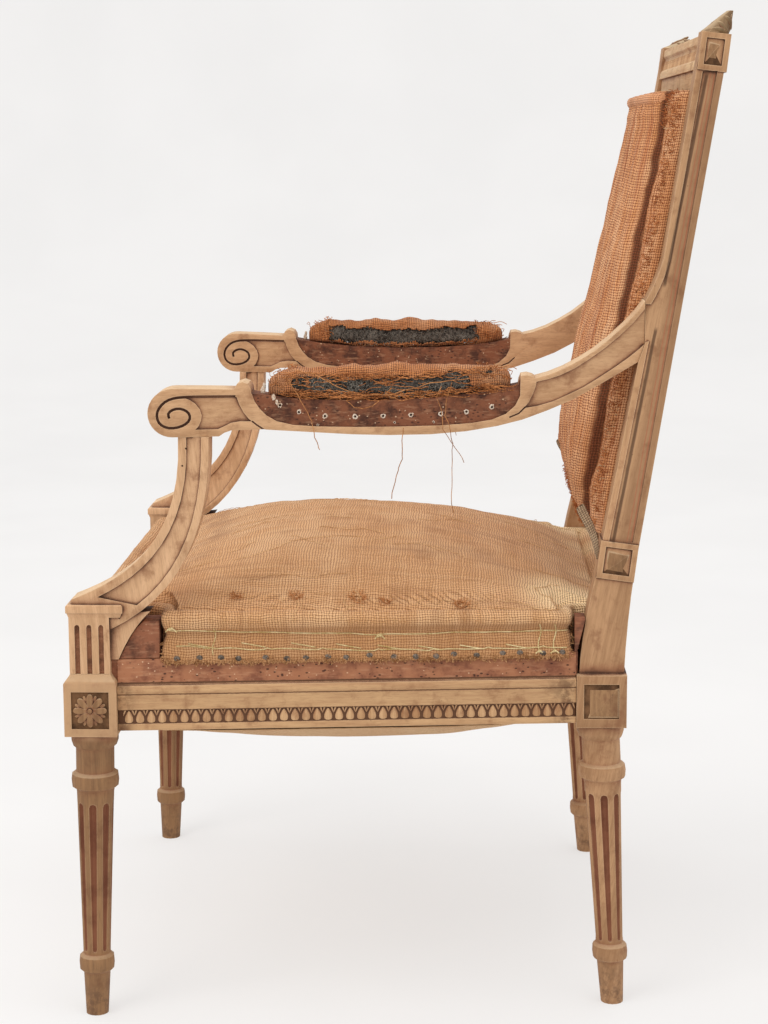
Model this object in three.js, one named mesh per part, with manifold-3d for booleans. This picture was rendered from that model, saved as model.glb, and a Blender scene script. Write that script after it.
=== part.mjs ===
// An open armchair in the neoclassical taste, stripped to its carved frame, burlap and webbing.
// Millimetres. x runs to the sitter's left, y to the back and z up, and the feet stand on z = 0.
// Pieces are sawn to a side pattern, so most outlines lie in the (y, z) plane and are slanted in x.

import * as THREE from 'three';
import { mergeVertices } from 'three/addons/utils/BufferGeometryUtils.js';
import Module from 'manifold-3d';

const wasm = await Module();
wasm.setup();

// Driving dimensions: the seat frame, measured between leg axes, and the main heights
const frontLegSpacing = 580;
const backLegSpacing = 495;
const seatDepth = 505;
const dieUnderside = 295.5;
const dieHeight = 53.5;
const frontDieWidth = 52;
const backDieWidth = 50;
const railUnderside = 300;
const railTop = 371;
const armUnderside = 594.3;
const backHeight = 976;

// Fits
const fitGap = 0.3;
const cutOverrun = 2;
const weldTolerance = 0.001;

// Turned legs: radii and heights from the floor
const footTipRadius = 11.4;
const footTopRadius = 13.6;
const footHeight = 45;
const lowerRingHeight = 19;
const lowerRingRadius = 18;
const taperBottomRadius = 13.9;
const taperTopRadius = 18.8;
const upperRingFloor = 237;
const upperRingHeight = 18;
const upperRingRadius = 24;
const neckRadius = 19.3;
const ovoloHeight = 16;
const ovoloRadius = 23.8;
const coveHeight = 4;
const ringSquarenessShare = 0.5;
const legSideCount = 16;
const fluteCount = 8;
const fluteTopRadius = 4;
const fluteBottomRadius = 2.8;
const fluteEndMargin = 9;
const fluteStandOff = 1;
const backLegRake = 15.5;
const frontLegRake = 5;

// Dies: the square blocks that the rails enter
const panelDepth = 1.8;
const panelMargin = 7.5;
const petalCount = 8;
const petalWidth = 10;
const petalRelief = 2.1;
const rosetteBossRadius = 3.2;
const diamondRelief = 1.5;
const ogeeHeight = 8.7;

// Rails of the seat
const railThickness = 32;
const railSetback = 5;
const filletHeight = 7;
const carvedBandHeight = 13.5;
const carvedBandDepth = 2;
const flatBandHeight = 16;
const beadHeight = 9;
const beadProud = 1.6;
const rebateDepth = 4;
const rebateBevel = 2;
const tenonLength = 18;
const tenonThickness = 10;
const tenonShoulder = 12;

// Arm supports: a fluted post with a cap, and the curved stump that carries the arm
const postWidth = 40;
const capUnderside = 415;
const capHeight = 12.5;
const capOverhang = 2;
const capBackOverhang = 11;
const capCavetto = 4;
const postFluteRadius = 2.7;
const postFluteSpacing = 11.8;
const postFluteTopMargin = 7.5;
const stumpThickness = 34;
const stumpTopFront = 92.5;
const stumpTopBack = 122;
const stumpLean = 10.5;
const stumpBead = 8;
const stumpPanelDepth = 2;
const stumpHeelDrop = 13;
const toeRecess = 3.5;
const toeFloorBack = 27.6;
const toeTopBack = 60;
const dowelRadius = 5;
const dowelLength = 12;

// Arms: the side pattern runs from the scroll's centre to the joint with the stile
const armThickness = 34;
const armOutset = 3;
const scrollCentre = 87.9;
const scrollRadius = 23.4;
const scrollFacetCount = 16;
const armJointBehind = 40;
const armJointTop = 718.5;
const armJointFloor = 677;
const armHeel = 659;
const armPanelDepth = 2.4;
const bedRecess = 2.6;
const voluteGrooveWidth = 2.6;
const voluteGrooveDepth = 3.2;
const tailGrooveWidth = 1.6;
const tailGrooveDepth = 1.4;
const armTenonLength = 13;
const armTenonHeight = 20;
const armTenonThickness = 9;

// Back: stiles, their dies and the two cross rails
const stileThickness = 32;
const stileBaseFront = -22;
const stileBaseBack = 22.5;
const stileFrontFoot = -25.2;
const stileBackFoot = 14.6;
const stileKneeHeight = 447;
const stileKneeBackHeight = 480;
const stileFrontSlope = 0.19;
const stileBackSlope = 0.1677;
const stileShoulderRise = 41.5;
const stileShoulderRun = 17.5;
const stileBead = 6.5;
const stilePanelDepth = 1.8;
const stileInwardLean = 0.0563;
const middleDieCentre = 462;
const middleDieSize = 37.5;
const middleDieProud = 2.2;
const middleDieTilt = 0.131;
const topDieHeight = 36.5;
const topDieDepth = 28.5;
const topDieTilt = 0.12;
const topDieMargin = 5.5;
const topDieProud = 1.4;
const crestHeight = 68;
const crestCarvedHeight = 33;
const crestRebate = 3;
const crestRecess = 2;
const crestBead = 3;
const crestSink = 1.5;
const lowerRailHeight = 33;
const lowerRailThickness = 22;
const finialHeight = 21;
const wornFinialHeight = 11;
const finialOverhang = 1.5;
const finialLobeCount = 5;
const finialPinRadius = 4;
const finialPinLength = 8;

// Filler blocks at the ends of the side stuffing
const blockTop = 409;
const blockThickness = 30;
const frontBlockBack = 67.5;
const frontBlockInset = 1;
const rearBlockLap = 2;
const rearBlockDrop = 4;
const rearBlockClearance = 2.5;

// Webbing, springs and cloths
const webWidth = 62;
const webThickness = 2;
const webSag = 52;
const webWeave = 1.9;
const webCount = 3;
const webStationCount = 12;
const springWireRadius = 1.7;
const springEndRadius = 36;
const springWaistRadius = 22;
const springTurnCount = 3;
const springStepCount = 8;
const springWireSideCount = 5;
const clothThickness = 3;
const clothSag = 62;
const clothWave = 3;
const clothEdgeShare = 0.85;
const clothCorner = 34;
const clothSpanCount = 9;
const clothColumnCount = 9;

// Pads
const seatEdgeHeight = 413;
const seatEdgeFall = 7;
const seatCrown = 55;
const seatFrontOverhang = 10;
const seatBackEdge = 17;
const seatPocketRise = 34;
const seatSquarenessShare = 0.24;
const padRingStepCount = 44;
const backPadThickness = 36;
const backPadLift = 5;
const backPadLap = 14;
const armPadThickness = 27;
const armPadWidth = 30;
const armPadFrontShare = 0.197;
const armPadBackShare = 0.713;
const armPadFloor = 622;
const armPadTop = 64;
const armPadStepCount = 12;

// Places that follow from the sizes above
const frontAxis = frontLegSpacing / 2;
const backAxis = backLegSpacing / 2;
const dieTop = dieUnderside + dieHeight;
const postFloor = dieTop + ogeeHeight;
const capTop = capUnderside + capHeight;
const seatFrontFace = frontDieWidth / 2;
const seatBackFace = seatDepth - backDieWidth / 2;
const sideSlant = (backAxis - frontAxis) / seatDepth;
const scrollHeight = armUnderside + scrollRadius;
const armJoint = seatDepth + armJointBehind;
const armRun = armJoint - scrollCentre;
const armRise = armJointTop - armUnderside;
const armAxisBack = stileAxis(armJointTop);
const armAxisFront = frontAxis + stumpLean + armOutset;
const armSlant = (armAxisBack - armAxisFront) / armRun;
const topDieCentre = backHeight - topDieHeight / 2;
const backWebFloor = middleDieCentre + lowerRailHeight / 4 + fitGap;
const backWebTop = backHeight - crestHeight + backPadLap;

// Distance of the stile's axis from the middle of the chair at a height
function stileAxis(height) {
  return backAxis - stileInwardLean * Math.max(0, height - dieTop);
}

// Distance of the seat rail's axis from the middle of the chair at a depth
function sideAxis(depth) {
  return frontAxis + sideSlant * depth;
}

// Distance of the arm's axis from the middle of the chair at a depth
function armAxis(depth) {
  return armAxisFront + armSlant * (depth - scrollCentre);
}

// Depth of the stile's straight front face at a height, measured from where it would meet the die
function stileFront(height) {
  return seatDepth + stileFrontFoot + stileFrontSlope * (height - dieTop);
}

// Depth of the stile's straight rear face at a height, measured in the same way
function stileBack(height) {
  return seatDepth + stileBackFoot + stileBackSlope * (height - dieTop);
}

// A closed geometry as a solid that can be joined and cut
function solidOf(geometry) {
  const bare = geometry.index ? geometry.toNonIndexed() : geometry.clone();
  bare.deleteAttribute('normal');
  bare.deleteAttribute('uv');
  const welded = mergeVertices(bare, weldTolerance);
  return new wasm.Manifold(new wasm.Mesh({
    numProp: 3,
    vertProperties: welded.attributes.position.array,
    triVerts: new Uint32Array(welded.index.array),
  }));
}

// A finished solid as a flat-shaded geometry
function geometryOf(made) {
  const mesh = made.getMesh();
  const geometry = new THREE.BufferGeometry();
  geometry.setAttribute('position', new THREE.BufferAttribute(mesh.vertProperties, mesh.numProp));
  geometry.setIndex(new THREE.BufferAttribute(mesh.triVerts, 1));
  const flat = geometry.toNonIndexed();
  flat.computeVertexNormals();
  return flat;
}

function joined(solids) {
  return solids.reduce((whole, next) => whole.add(next));
}

function cutFrom(body, cutters) {
  return cutters.reduce((rest, cutter) => rest.subtract(cutter), body);
}

// Shapes drawn as (depth, height) pairs become slabs with their thickness along x
const patternAxes = new THREE.Matrix4().set(
  0, 0, 1, 0,
  1, 0, 0, 0,
  0, 1, 0, 0,
  0, 0, 0, 1,
);

function pairs(points) {
  return points.map((p) => (p.isVector2 ? p : new THREE.Vector2(p[0], p[1])));
}

function slab(points, thickness, centre = 0) {
  const shape = new THREE.Shape(pairs(points));
  const geometry = new THREE.ExtrudeGeometry(shape, { depth: thickness, bevelEnabled: false });
  geometry.translate(0, 0, centre - thickness / 2);
  return geometry.applyMatrix4(patternAxes);
}

// Moves x in proportion to depth and height, as a leg or an arm that splays
function slant(geometry, perDepth, perHeight, depth = 0, height = 0) {
  const shift = -perDepth * depth - perHeight * height;
  return geometry.applyMatrix4(new THREE.Matrix4().set(
    1, perDepth, perHeight, shift,
    0, 1, 0, 0,
    0, 0, 1, 0,
    0, 0, 0, 1,
  ));
}

function box(widthX, depthY, heightZ, x = 0, y = 0, z = 0) {
  return new THREE.BoxGeometry(widthX, depthY, heightZ).translate(x, y, z);
}

// A profile of (radius, height) pairs turned about the z axis
function turned(profile, sides) {
  const geometry = new THREE.LatheGeometry(pairs(profile), sides);
  return geometry.rotateX(Math.PI / 2);
}

// A stack of square sections: each pair is half the side and a height
function squareStack(profile) {
  const diagonal = profile.map(([half, height]) => [half * Math.SQRT2, height]);
  return turned(diagonal, 4).rotateZ(Math.PI / 4);
}

function spline(points, steps) {
  return new THREE.SplineCurve(pairs(points)).getPoints(steps);
}

function cubic(a, b, c, d, steps) {
  return new THREE.CubicBezierCurve(...pairs([a, b, c, d])).getPoints(steps);
}

function quadratic(a, b, c, steps) {
  return new THREE.QuadraticBezierCurve(...pairs([a, b, c])).getPoints(steps);
}

// A path moved to its left by a distance, or to its right by a negative one
function offsetPath(points, distance) {
  return points.map((point, i) => {
    const before = points[Math.max(0, i - 1)];
    const after = points[Math.min(points.length - 1, i + 1)];
    const along = new THREE.Vector2().subVectors(after, before).normalize();
    return new THREE.Vector2(point.x - along.y * distance, point.y + along.x * distance);
  });
}

// Rings of equal count joined into one closed skin, with a fan over each end
function loft(rings) {
  const count = rings[0].length;
  const positions = [];
  const triangle = (a, b, c) => positions.push(...a.toArray(), ...b.toArray(), ...c.toArray());
  for (let r = 0; r + 1 < rings.length; r += 1) {
    for (let i = 0; i < count; i += 1) {
      const next = (i + 1) % count;
      triangle(rings[r][i], rings[r][next], rings[r + 1][next]);
      triangle(rings[r][i], rings[r + 1][next], rings[r + 1][i]);
    }
  }
  const ends = [rings[0], rings[rings.length - 1]];
  ends.forEach((ring, which) => {
    const middle = new THREE.Vector3();
    ring.forEach((p) => middle.add(p));
    middle.divideScalar(count);
    for (let i = 0; i < count; i += 1) {
      const next = (i + 1) % count;
      if (which === 0) triangle(middle, ring[next], ring[i]);
      else triangle(middle, ring[i], ring[next]);
    }
  });
  const geometry = new THREE.BufferGeometry();
  geometry.setAttribute('position', new THREE.Float32BufferAttribute(positions, 3));
  return geometry;
}

// Turned and fluted leg, standing on z = 0 about the z axis
function ringProfile(floor, height, inner, outer) {
  const steps = 4;
  const profile = [];
  for (let i = 0; i <= steps; i += 1) {
    const angle = (i / steps - 0.5) * Math.PI;
    const bulge = Math.max(0, Math.cos(angle)) ** ringSquarenessShare;
    profile.push([inner + (outer - inner) * bulge, floor + height * (0.5 + Math.sin(angle) / 2)]);
  }
  return profile;
}

function fluteCutter(bottom, top) {
  const r = fluteBottomRadius;
  const R = fluteTopRadius;
  const rounding = Math.SQRT1_2;
  const length = top - bottom;
  const cutter = turned([
    [0, -r], [r * rounding, -r * rounding], [r, 0],
    [R, length], [R * rounding, length + R * rounding], [0, length + R],
  ], 8);
  const taper = Math.atan2(taperTopRadius - taperBottomRadius, upperRingFloor - footHeight);
  cutter.rotateZ(Math.PI / 8).rotateY(taper);
  return cutter.translate(taperBottomRadius + fluteStandOff, 0, bottom);
}

// A turned leg whose foot stands off its die by a rake, forward when negative
function turnedLeg(rake) {
  const ringTop = footHeight + lowerRingHeight;
  const upperRingTop = upperRingFloor + upperRingHeight;
  const body = solidOf(turned([
    [0, 0],
    [footTipRadius, 0],
    [footTopRadius, footHeight],
    ...ringProfile(footHeight, lowerRingHeight, taperBottomRadius + fitGap, lowerRingRadius),
    [taperBottomRadius, ringTop + fitGap],
    [taperTopRadius, upperRingFloor - coveHeight],
    ...ringProfile(upperRingFloor, upperRingHeight, neckRadius, upperRingRadius),
    [neckRadius, dieUnderside - ovoloHeight],
    [(neckRadius + ovoloRadius) / 2 + fitGap, dieUnderside - ovoloHeight * 0.85],
    [ovoloRadius, dieUnderside - ovoloHeight / 2],
    [ovoloRadius, dieUnderside + cutOverrun],
    [0, dieUnderside + cutOverrun],
  ], legSideCount));
  const bottom = ringTop + fluteEndMargin - fluteBottomRadius;
  const top = upperRingFloor - coveHeight - fluteEndMargin - fluteTopRadius;
  const flutes = [];
  for (let i = 0; i < fluteCount; i += 1) {
    flutes.push(solidOf(fluteCutter(bottom, top).rotateZ((i / fluteCount) * 2 * Math.PI)));
  }
  return cutFrom(body, flutes).transform([
    1, 0, 0, 0,
    0, 1, 0, 0,
    0, -rake / dieUnderside, 1, 0,
    0, rake, 0, 1,
  ]);
}

// A sunk square panel cut into a face that looks along +x at the origin
function panelCutter(width, height) {
  return box(panelDepth * 2, width, height);
}

function rosette(radius) {
  const petals = [];
  const reach = radius - rosetteBossRadius / 2;
  for (let i = 0; i < petalCount; i += 1) {
    const petal = new THREE.OctahedronGeometry(1);
    petal.scale(petalRelief, reach / 2, petalWidth / 2);
    petal.translate(0, radius - reach / 2, 0);
    petals.push(solidOf(petal.rotateX((i / petalCount) * 2 * Math.PI)));
  }
  const boss = new THREE.SphereGeometry(rosetteBossRadius, 8, 4).rotateZ(Math.PI / 2);
  boss.scale(petalRelief / rosetteBossRadius * 1.3, 1, 1);
  petals.push(solidOf(boss));
  return joined(petals);
}

function diamondPoint(width, height) {
  const point = new THREE.ConeGeometry(Math.SQRT1_2, 1, 4).rotateY(Math.PI / 4).rotateZ(-Math.PI / 2);
  return point.scale(diamondRelief, width, height).translate(diamondRelief / 2, 0, 0);
}

// Tenon and its mortise: the mortise is the same block grown by the fit
function tenonBox(along, across, height, grow = 0) {
  return box(across + 2 * grow, along + 2 * grow, height + 2 * grow);
}

const railTenonHeight = railTop - railUnderside - 2 * tenonShoulder - beadHeight;
const railTenonCentre = (railUnderside + railTop - beadHeight) / 2;

function sideTenon(atFront, grow = 0) {
  const face = atFront ? seatFrontFace : seatBackFace;
  const depth = atFront ? face - tenonLength / 2 : face + tenonLength / 2;
  const tenon = tenonBox(tenonLength + 2 * cutOverrun, tenonThickness, railTenonHeight, grow);
  const inward = atFront ? cutOverrun : -cutOverrun;
  return tenon.translate(sideAxis(face), depth + inward, railTenonCentre);
}

function crossTenon(axis, depth, dieWidth, grow = 0) {
  const x = axis - dieWidth / 2 + tenonLength / 2 - cutOverrun;
  const tenon = box(tenonLength + 2 * cutOverrun + 2 * grow, tenonThickness + 2 * grow,
    railTenonHeight + 2 * grow);
  return tenon.translate(x, depth, railTenonCentre);
}

function dowel(x, y, z, length, grow = 0) {
  const pin = new THREE.CylinderGeometry(dowelRadius + grow, dowelRadius + grow, length + 2 * grow, 12);
  return pin.rotateX(Math.PI / 2).translate(x, y, z);
}

function frontLeg() {
  const half = frontDieWidth / 2;
  const axis = frontAxis;
  const leg = turnedLeg(-frontLegRake);
  const die = solidOf(squareStack([
    [0, dieUnderside],
    [half, dieUnderside],
    [half, dieTop],
    [half - ogeeHeight * 0.2, dieTop + ogeeHeight * 0.3],
    [postWidth / 2 + ogeeHeight * 0.25, dieTop + ogeeHeight * 0.55],
    [postWidth / 2, postFloor],
    [0, postFloor],
  ]));
  const panelSize = frontDieWidth - 2 * panelMargin;
  const middle = dieUnderside + dieHeight / 2;
  const outer = solidOf(panelCutter(panelSize, panelSize)).translate([half, 0, middle]);
  const front = outer.translate([0, 0, -middle]).rotate([0, 0, -90]).translate([0, 0, middle]);
  const flower = rosette(panelSize / 2 - 1.5 * fitGap);
  const outerFlower = flower.translate([half - panelDepth, 0, middle]);
  const frontFlower = flower.rotate([0, 0, -90]).translate([0, -half + panelDepth, middle]);
  const body = joined([cutFrom(joined([leg, die]), [outer, front]), outerFlower, frontFlower]);
  return cutFrom(body.translate([axis, 0, 0]), [
    solidOf(sideTenon(true, fitGap)),
    solidOf(crossTenon(frontAxis, 0, frontDieWidth, fitGap)),
    solidOf(dowel(axis, 0, postFloor, 2 * dowelLength, fitGap)),
  ]);
}

// Side pattern of the stile above the lower die: the shoulder seats the arm's end
function stileShoulder() {
  const end = [armJoint + stileShoulderRun, armJointTop + stileShoulderRise];
  const bend = [armJoint + stileShoulderRun * 0.6, armJointTop + stileShoulderRise * 0.42];
  return quadratic([armJoint, armJointTop], bend, end, 5);
}

function stileFrontPath() {
  const base = seatDepth + stileBaseFront;
  const knee = [stileFront(stileKneeHeight), stileKneeHeight];
  const bend = [base + stileBead * 0.2, dieTop + (stileKneeHeight - dieTop) * 0.4];
  return [
    ...quadratic([base, dieTop], bend, knee, 5),
    ...pairs([[stileFront(armHeel), armHeel], [armJoint, armJointFloor]]),
    ...stileShoulder(),
  ];
}

function stileTopFront() {
  return stileBack(topDieCentre) - topDieDepth + topDieProud;
}

function stileBackPath() {
  const base = seatDepth + stileBaseBack;
  const knee = [stileBack(stileKneeBackHeight), stileKneeBackHeight];
  const low = [base + stileBead * 0.4, dieTop + (stileKneeBackHeight - dieTop) / 2];
  return [
    ...quadratic([base, dieTop], low, knee, 5),
    ...pairs([[stileBack(topDieCentre), topDieCentre]]),
  ];
}

function stilePanel() {
  const floor = middleDieCentre + middleDieSize / 2;
  const top = backHeight - topDieHeight;
  const sweep = offsetPath([...stileShoulder(), ...pairs([[stileTopFront(), topDieCentre]])], -stileBead);
  const mitre = [armJoint + stileBead * 0.6, armJointFloor + stileBead * 0.4];
  return [
    ...pairs([[stileFront(floor) + stileBead, floor], mitre]),
    ...pairs([[armJoint - cutOverrun, armJointFloor], [armJoint - cutOverrun, sweep[0].y]]),
    ...sweep.slice(0, -1),
    ...pairs([
      [stileTopFront() + stileBead - stileBackSlope * topDieHeight / 2, top],
      [stileBack(top) - stileBead, top],
      [stileBack(floor) - stileBead, floor],
    ]),
  ];
}

function tiltedBlock(width, depth, height, tilt, centreDepth, centreHeight) {
  const block = slant(box(width, depth, height).rotateX(-tilt), 0, -stileInwardLean);
  return block.translate(stileAxis(centreHeight), centreDepth, centreHeight);
}

function topDiePlace() {
  return stileBack(topDieCentre) + topDieProud - topDieDepth / 2;
}

function stileDieDepth(centreHeight) {
  return (stileFront(centreHeight) + stileBack(centreHeight)) / 2;
}

function backLeg() {
  const half = backDieWidth / 2;
  const leanFrom = dieTop;
  const lean = (geometry) => slant(geometry, 0, -stileInwardLean, 0, leanFrom);
  const raked = turnedLeg(backLegRake).translate([backAxis, seatDepth, 0]);
  const die = solidOf(squareStack([
    [0, dieUnderside], [half, dieUnderside], [half, dieTop], [0, dieTop],
  ])).translate([backAxis, seatDepth, 0]);
  const middle = dieUnderside + dieHeight / 2;
  const panelSize = backDieWidth - 2 * panelMargin;
  const outerPanel = panelCutter(panelSize, panelSize).translate(backAxis + half, seatDepth, middle);
  const point = diamondPoint(panelSize - 2 * fitGap, panelSize - 2 * fitGap);
  point.translate(backAxis + half - panelDepth, seatDepth, middle);
  const pattern = [
    ...stileFrontPath(),
    ...pairs([[stileTopFront(), topDieCentre]]),
    ...stileBackPath().reverse(),
  ];
  const floor = dieTop - cutOverrun;
  const stile = solidOf(lean(slab(pattern, stileThickness, backAxis)));
  const seat = solidOf(box(stileThickness, stileBaseBack - stileBaseFront, 2 * cutOverrun,
    backAxis, seatDepth + (stileBaseBack + stileBaseFront) / 2, floor + cutOverrun));
  const middleDie = tiltedBlock(stileThickness + 2 * middleDieProud, middleDieSize, middleDieSize,
    middleDieTilt, stileDieDepth(middleDieCentre), middleDieCentre);
  const topDie = tiltedBlock(stileThickness + topDieProud, topDieDepth, topDieHeight, topDieTilt,
    topDiePlace(), topDieCentre).translate(topDieProud / 2, 0, 0);
  const whole = joined([raked, die, stile, seat, solidOf(middleDie), solidOf(topDie)]);
  const face = backAxis + stileThickness / 2;
  const panels = [
    solidOf(lean(slab(stilePanel(), 2 * stilePanelDepth, face))),
    solidOf(outerPanel),
    solidOf(diePanel(middleDieSize, middleDieSize, middleDieProud, middleDieTilt,
      stileDieDepth(middleDieCentre), middleDieCentre)),
    solidOf(diePanel(topDieDepth, topDieHeight, topDieProud, topDieTilt,
      topDiePlace(), topDieCentre)),
  ];
  const points = [
    solidOf(point),
    solidOf(diePoint(middleDieSize, middleDieSize, middleDieProud, middleDieTilt,
      stileDieDepth(middleDieCentre), middleDieCentre)),
    solidOf(diePoint(topDieDepth, topDieHeight, topDieProud, topDieTilt,
      topDiePlace(), topDieCentre)),
  ];
  return cutFrom(joined([cutFrom(whole, panels), ...points]), [
    solidOf(sideTenon(false, fitGap)),
    solidOf(crossTenon(backAxis, seatDepth, backDieWidth, fitGap)),
    solidOf(armTenon(fitGap)),
    solidOf(crestTenon(fitGap)),
    solidOf(lowerRailTenon(fitGap)),
    solidOf(finialPin(fitGap)),
  ]);
}

function dieFace(proud, centreHeight) {
  return stileAxis(centreHeight) + stileThickness / 2 + proud;
}

function diePanel(depth, height, proud, tilt, centreDepth, centreHeight) {
  const cutter = panelCutter(depth - 2 * topDieMargin, height - 2 * topDieMargin).rotateX(-tilt);
  slant(cutter, 0, -stileInwardLean);
  return cutter.translate(dieFace(proud, centreHeight), centreDepth, centreHeight);
}

function diePoint(depth, height, proud, tilt, centreDepth, centreHeight) {
  const margin = 2 * (topDieMargin + fitGap);
  const point = diamondPoint(depth - margin, height - margin).rotateX(-tilt);
  slant(point, 0, -stileInwardLean);
  return point.translate(dieFace(proud, centreHeight) - panelDepth, centreDepth, centreHeight);
}

// Seat rails: one moulded section, outer face at x = 0 and the inside at negative x
function railSection(moulded) {
  const t = railThickness;
  if (!moulded) {
    return [[-t, railUnderside], [0, railUnderside], [0, railTop], [-t, railTop]];
  }
  const carvedFloor = railUnderside + filletHeight;
  const flatFloor = carvedFloor + carvedBandHeight;
  const beadFloor = flatFloor + flatBandHeight;
  const beadTop = beadFloor + beadHeight;
  return [
    [-t, railUnderside],
    [0, railUnderside],
    [0, carvedFloor],
    [-carvedBandDepth, carvedFloor + fitGap],
    [-carvedBandDepth, flatFloor - fitGap],
    [0, flatFloor],
    [0, beadFloor],
    [beadProud, beadFloor + beadHeight * 0.3],
    [beadProud, beadFloor + beadHeight * 0.7],
    [0, beadTop],
    [-rebateDepth, beadTop + fitGap],
    [-rebateDepth - rebateBevel, railTop],
    [-t, railTop],
  ];
}

function railPrism(section, length) {
  const shape = new THREE.Shape(pairs(section));
  const geometry = new THREE.ExtrudeGeometry(shape, { depth: length, bevelEnabled: false });
  return geometry.translate(0, 0, -length / 2).rotateX(Math.PI / 2);
}

function sideRail() {
  const length = seatBackFace - seatFrontFace - 2 * fitGap;
  const middle = (seatBackFace + seatFrontFace) / 2;
  const face = sideAxis(0) + frontDieWidth / 2 - railSetback;
  const prism = railPrism(railSection(true), length).translate(face, middle, 0);
  slant(prism, sideSlant, 0, 0, 0);
  return joined([solidOf(prism), solidOf(sideTenon(true)), solidOf(sideTenon(false))]);
}

function crossRail(axis, dieWidth, depth, moulded) {
  const length = 2 * axis - dieWidth - 2 * fitGap;
  const face = dieWidth / 2 - railSetback;
  const prism = railPrism(railSection(moulded), length).rotateZ(-Math.PI / 2);
  const facing = moulded ? prism : prism.rotateZ(Math.PI);
  facing.translate(0, moulded ? depth - face : depth + face, 0);
  const tenon = solidOf(crossTenon(axis, depth, dieWidth));
  return joined([solidOf(facing), tenon, tenon.mirror([1, 0, 0])]);
}

// Arm support
function stumpFrontPath() {
  const floor = capTop - fitGap;
  const front = -postWidth / 2 + 3 * fitGap;
  const rise = armUnderside - floor;
  const run = stumpTopFront - front;
  return cubic(
    [front + run * 0.02, floor + rise * 0.03],
    [front + run * 0.48, floor + rise * 0.15],
    [front + run * 1.02, floor + rise * 0.36],
    [stumpTopFront, armUnderside - fitGap],
    14,
  );
}

function stumpBackPath() {
  const heel = [postWidth / 2 + fitGap, capUnderside - stumpHeelDrop];
  const run = stumpTopBack - heel[0];
  const rise = armUnderside - heel[1];
  return cubic(
    heel,
    [heel[0] + run * 0.68, heel[1] + rise * 0.17],
    [stumpTopBack, heel[1] + rise * 0.51],
    [stumpTopBack, armUnderside - fitGap],
    12,
  );
}

// The rough toe behind the post, under the stump, down to the rail
function toeCurve() {
  const floor = railTop + fitGap;
  return quadratic(
    [toeFloorBack, floor],
    [toeFloorBack + (toeTopBack - toeFloorBack) * 0.4, floor + (capUnderside - floor) * 0.7],
    [toeTopBack, capUnderside + capHeight * 0.4],
    5,
  );
}

function postFlutes() {
  const floor = postFloor - cutOverrun;
  const top = capUnderside - postFluteTopMargin - postFluteRadius;
  const height = top - floor;
  const rod = turned([
    [0, 0], [postFluteRadius, 0], [postFluteRadius, height],
    [postFluteRadius * Math.SQRT1_2, height + postFluteRadius * Math.SQRT1_2],
    [0, height + postFluteRadius],
  ], 8).rotateZ(Math.PI / 8);
  const cuts = [];
  const half = postWidth / 2;
  for (const turn of [0, -90, 180]) {
    for (const step of [-1, 0, 1]) {
      const flute = solidOf(rod).translate([half, step * postFluteSpacing, floor]);
      cuts.push(flute.rotate([0, 0, turn]));
    }
  }
  return cuts;
}

function armSupport() {
  const half = postWidth / 2;
  const post = cutFrom(solidOf(squareStack([
    [0, postFloor + fitGap], [half, postFloor + fitGap], [half, capUnderside], [0, capUnderside],
  ])), postFlutes());
  const capShape = squareStack([
    [0, capUnderside - fitGap],
    [half, capUnderside - fitGap],
    [half + capOverhang * 0.6, capUnderside + capCavetto],
    [half + capOverhang, capUnderside + capCavetto + fitGap],
    [half + capOverhang, capTop - capCavetto * 0.4],
    [half + capOverhang * 0.5, capTop],
    [0, capTop],
  ]);
  const stretch = (2 * half + capBackOverhang) / (2 * half);
  capShape.scale(1, stretch, 1).translate(0, capBackOverhang / 2, 0);
  const postAndCap = joined([post, solidOf(capShape)]);
  const front = stumpFrontPath();
  const back = stumpBackPath();
  const outline = [
    ...pairs([[-half + capOverhang, capTop - capCavetto]]),
    ...front,
    ...back.slice().reverse(),
  ];
  const leanPerHeight = stumpLean / (armUnderside - capTop);
  const stumpSlab = (points, thickness, centre = 0) => {
    const sawn = slab(points, thickness, centre);
    const place = sawn.attributes.position;
    for (let i = 0; i < place.count; i += 1) {
      const above = Math.max(0, place.getZ(i) - capTop);
      place.setX(i, place.getX(i) + above * leanPerHeight);
    }
    return solidOf(sawn);
  };
  const stump = stumpSlab(outline, stumpThickness);
  const panelFront = offsetPath(front, -stumpBead).slice(2);
  const panelBack = offsetPath(back, stumpBead * 0.9).slice(2).reverse();
  const panel = [...panelFront, ...panelBack];
  const faces = [1, -1].map((side) => (
    stumpSlab(panel, 2 * stumpPanelDepth, side * stumpThickness / 2)
  ));
  const toe = [
    ...pairs([[half - cutOverrun, railTop + fitGap]]),
    ...toeCurve(),
    ...pairs([[half - cutOverrun, capUnderside]]),
  ];
  const shaped = cutFrom(stump, faces);
  const toeBlock = solidOf(slab(toe, stumpThickness - 2 * toeRecess));
  const lower = solidOf(dowel(0, 0, postFloor, 2 * dowelLength));
  const topMiddle = (stumpTopFront + stumpTopBack) / 2;
  const upper = solidOf(dowel(stumpLean, topMiddle, armUnderside, 2 * dowelLength));
  return joined([postAndCap, shaped, toeBlock, lower, upper]).translate([frontAxis, 0, 0]);
}

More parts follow.
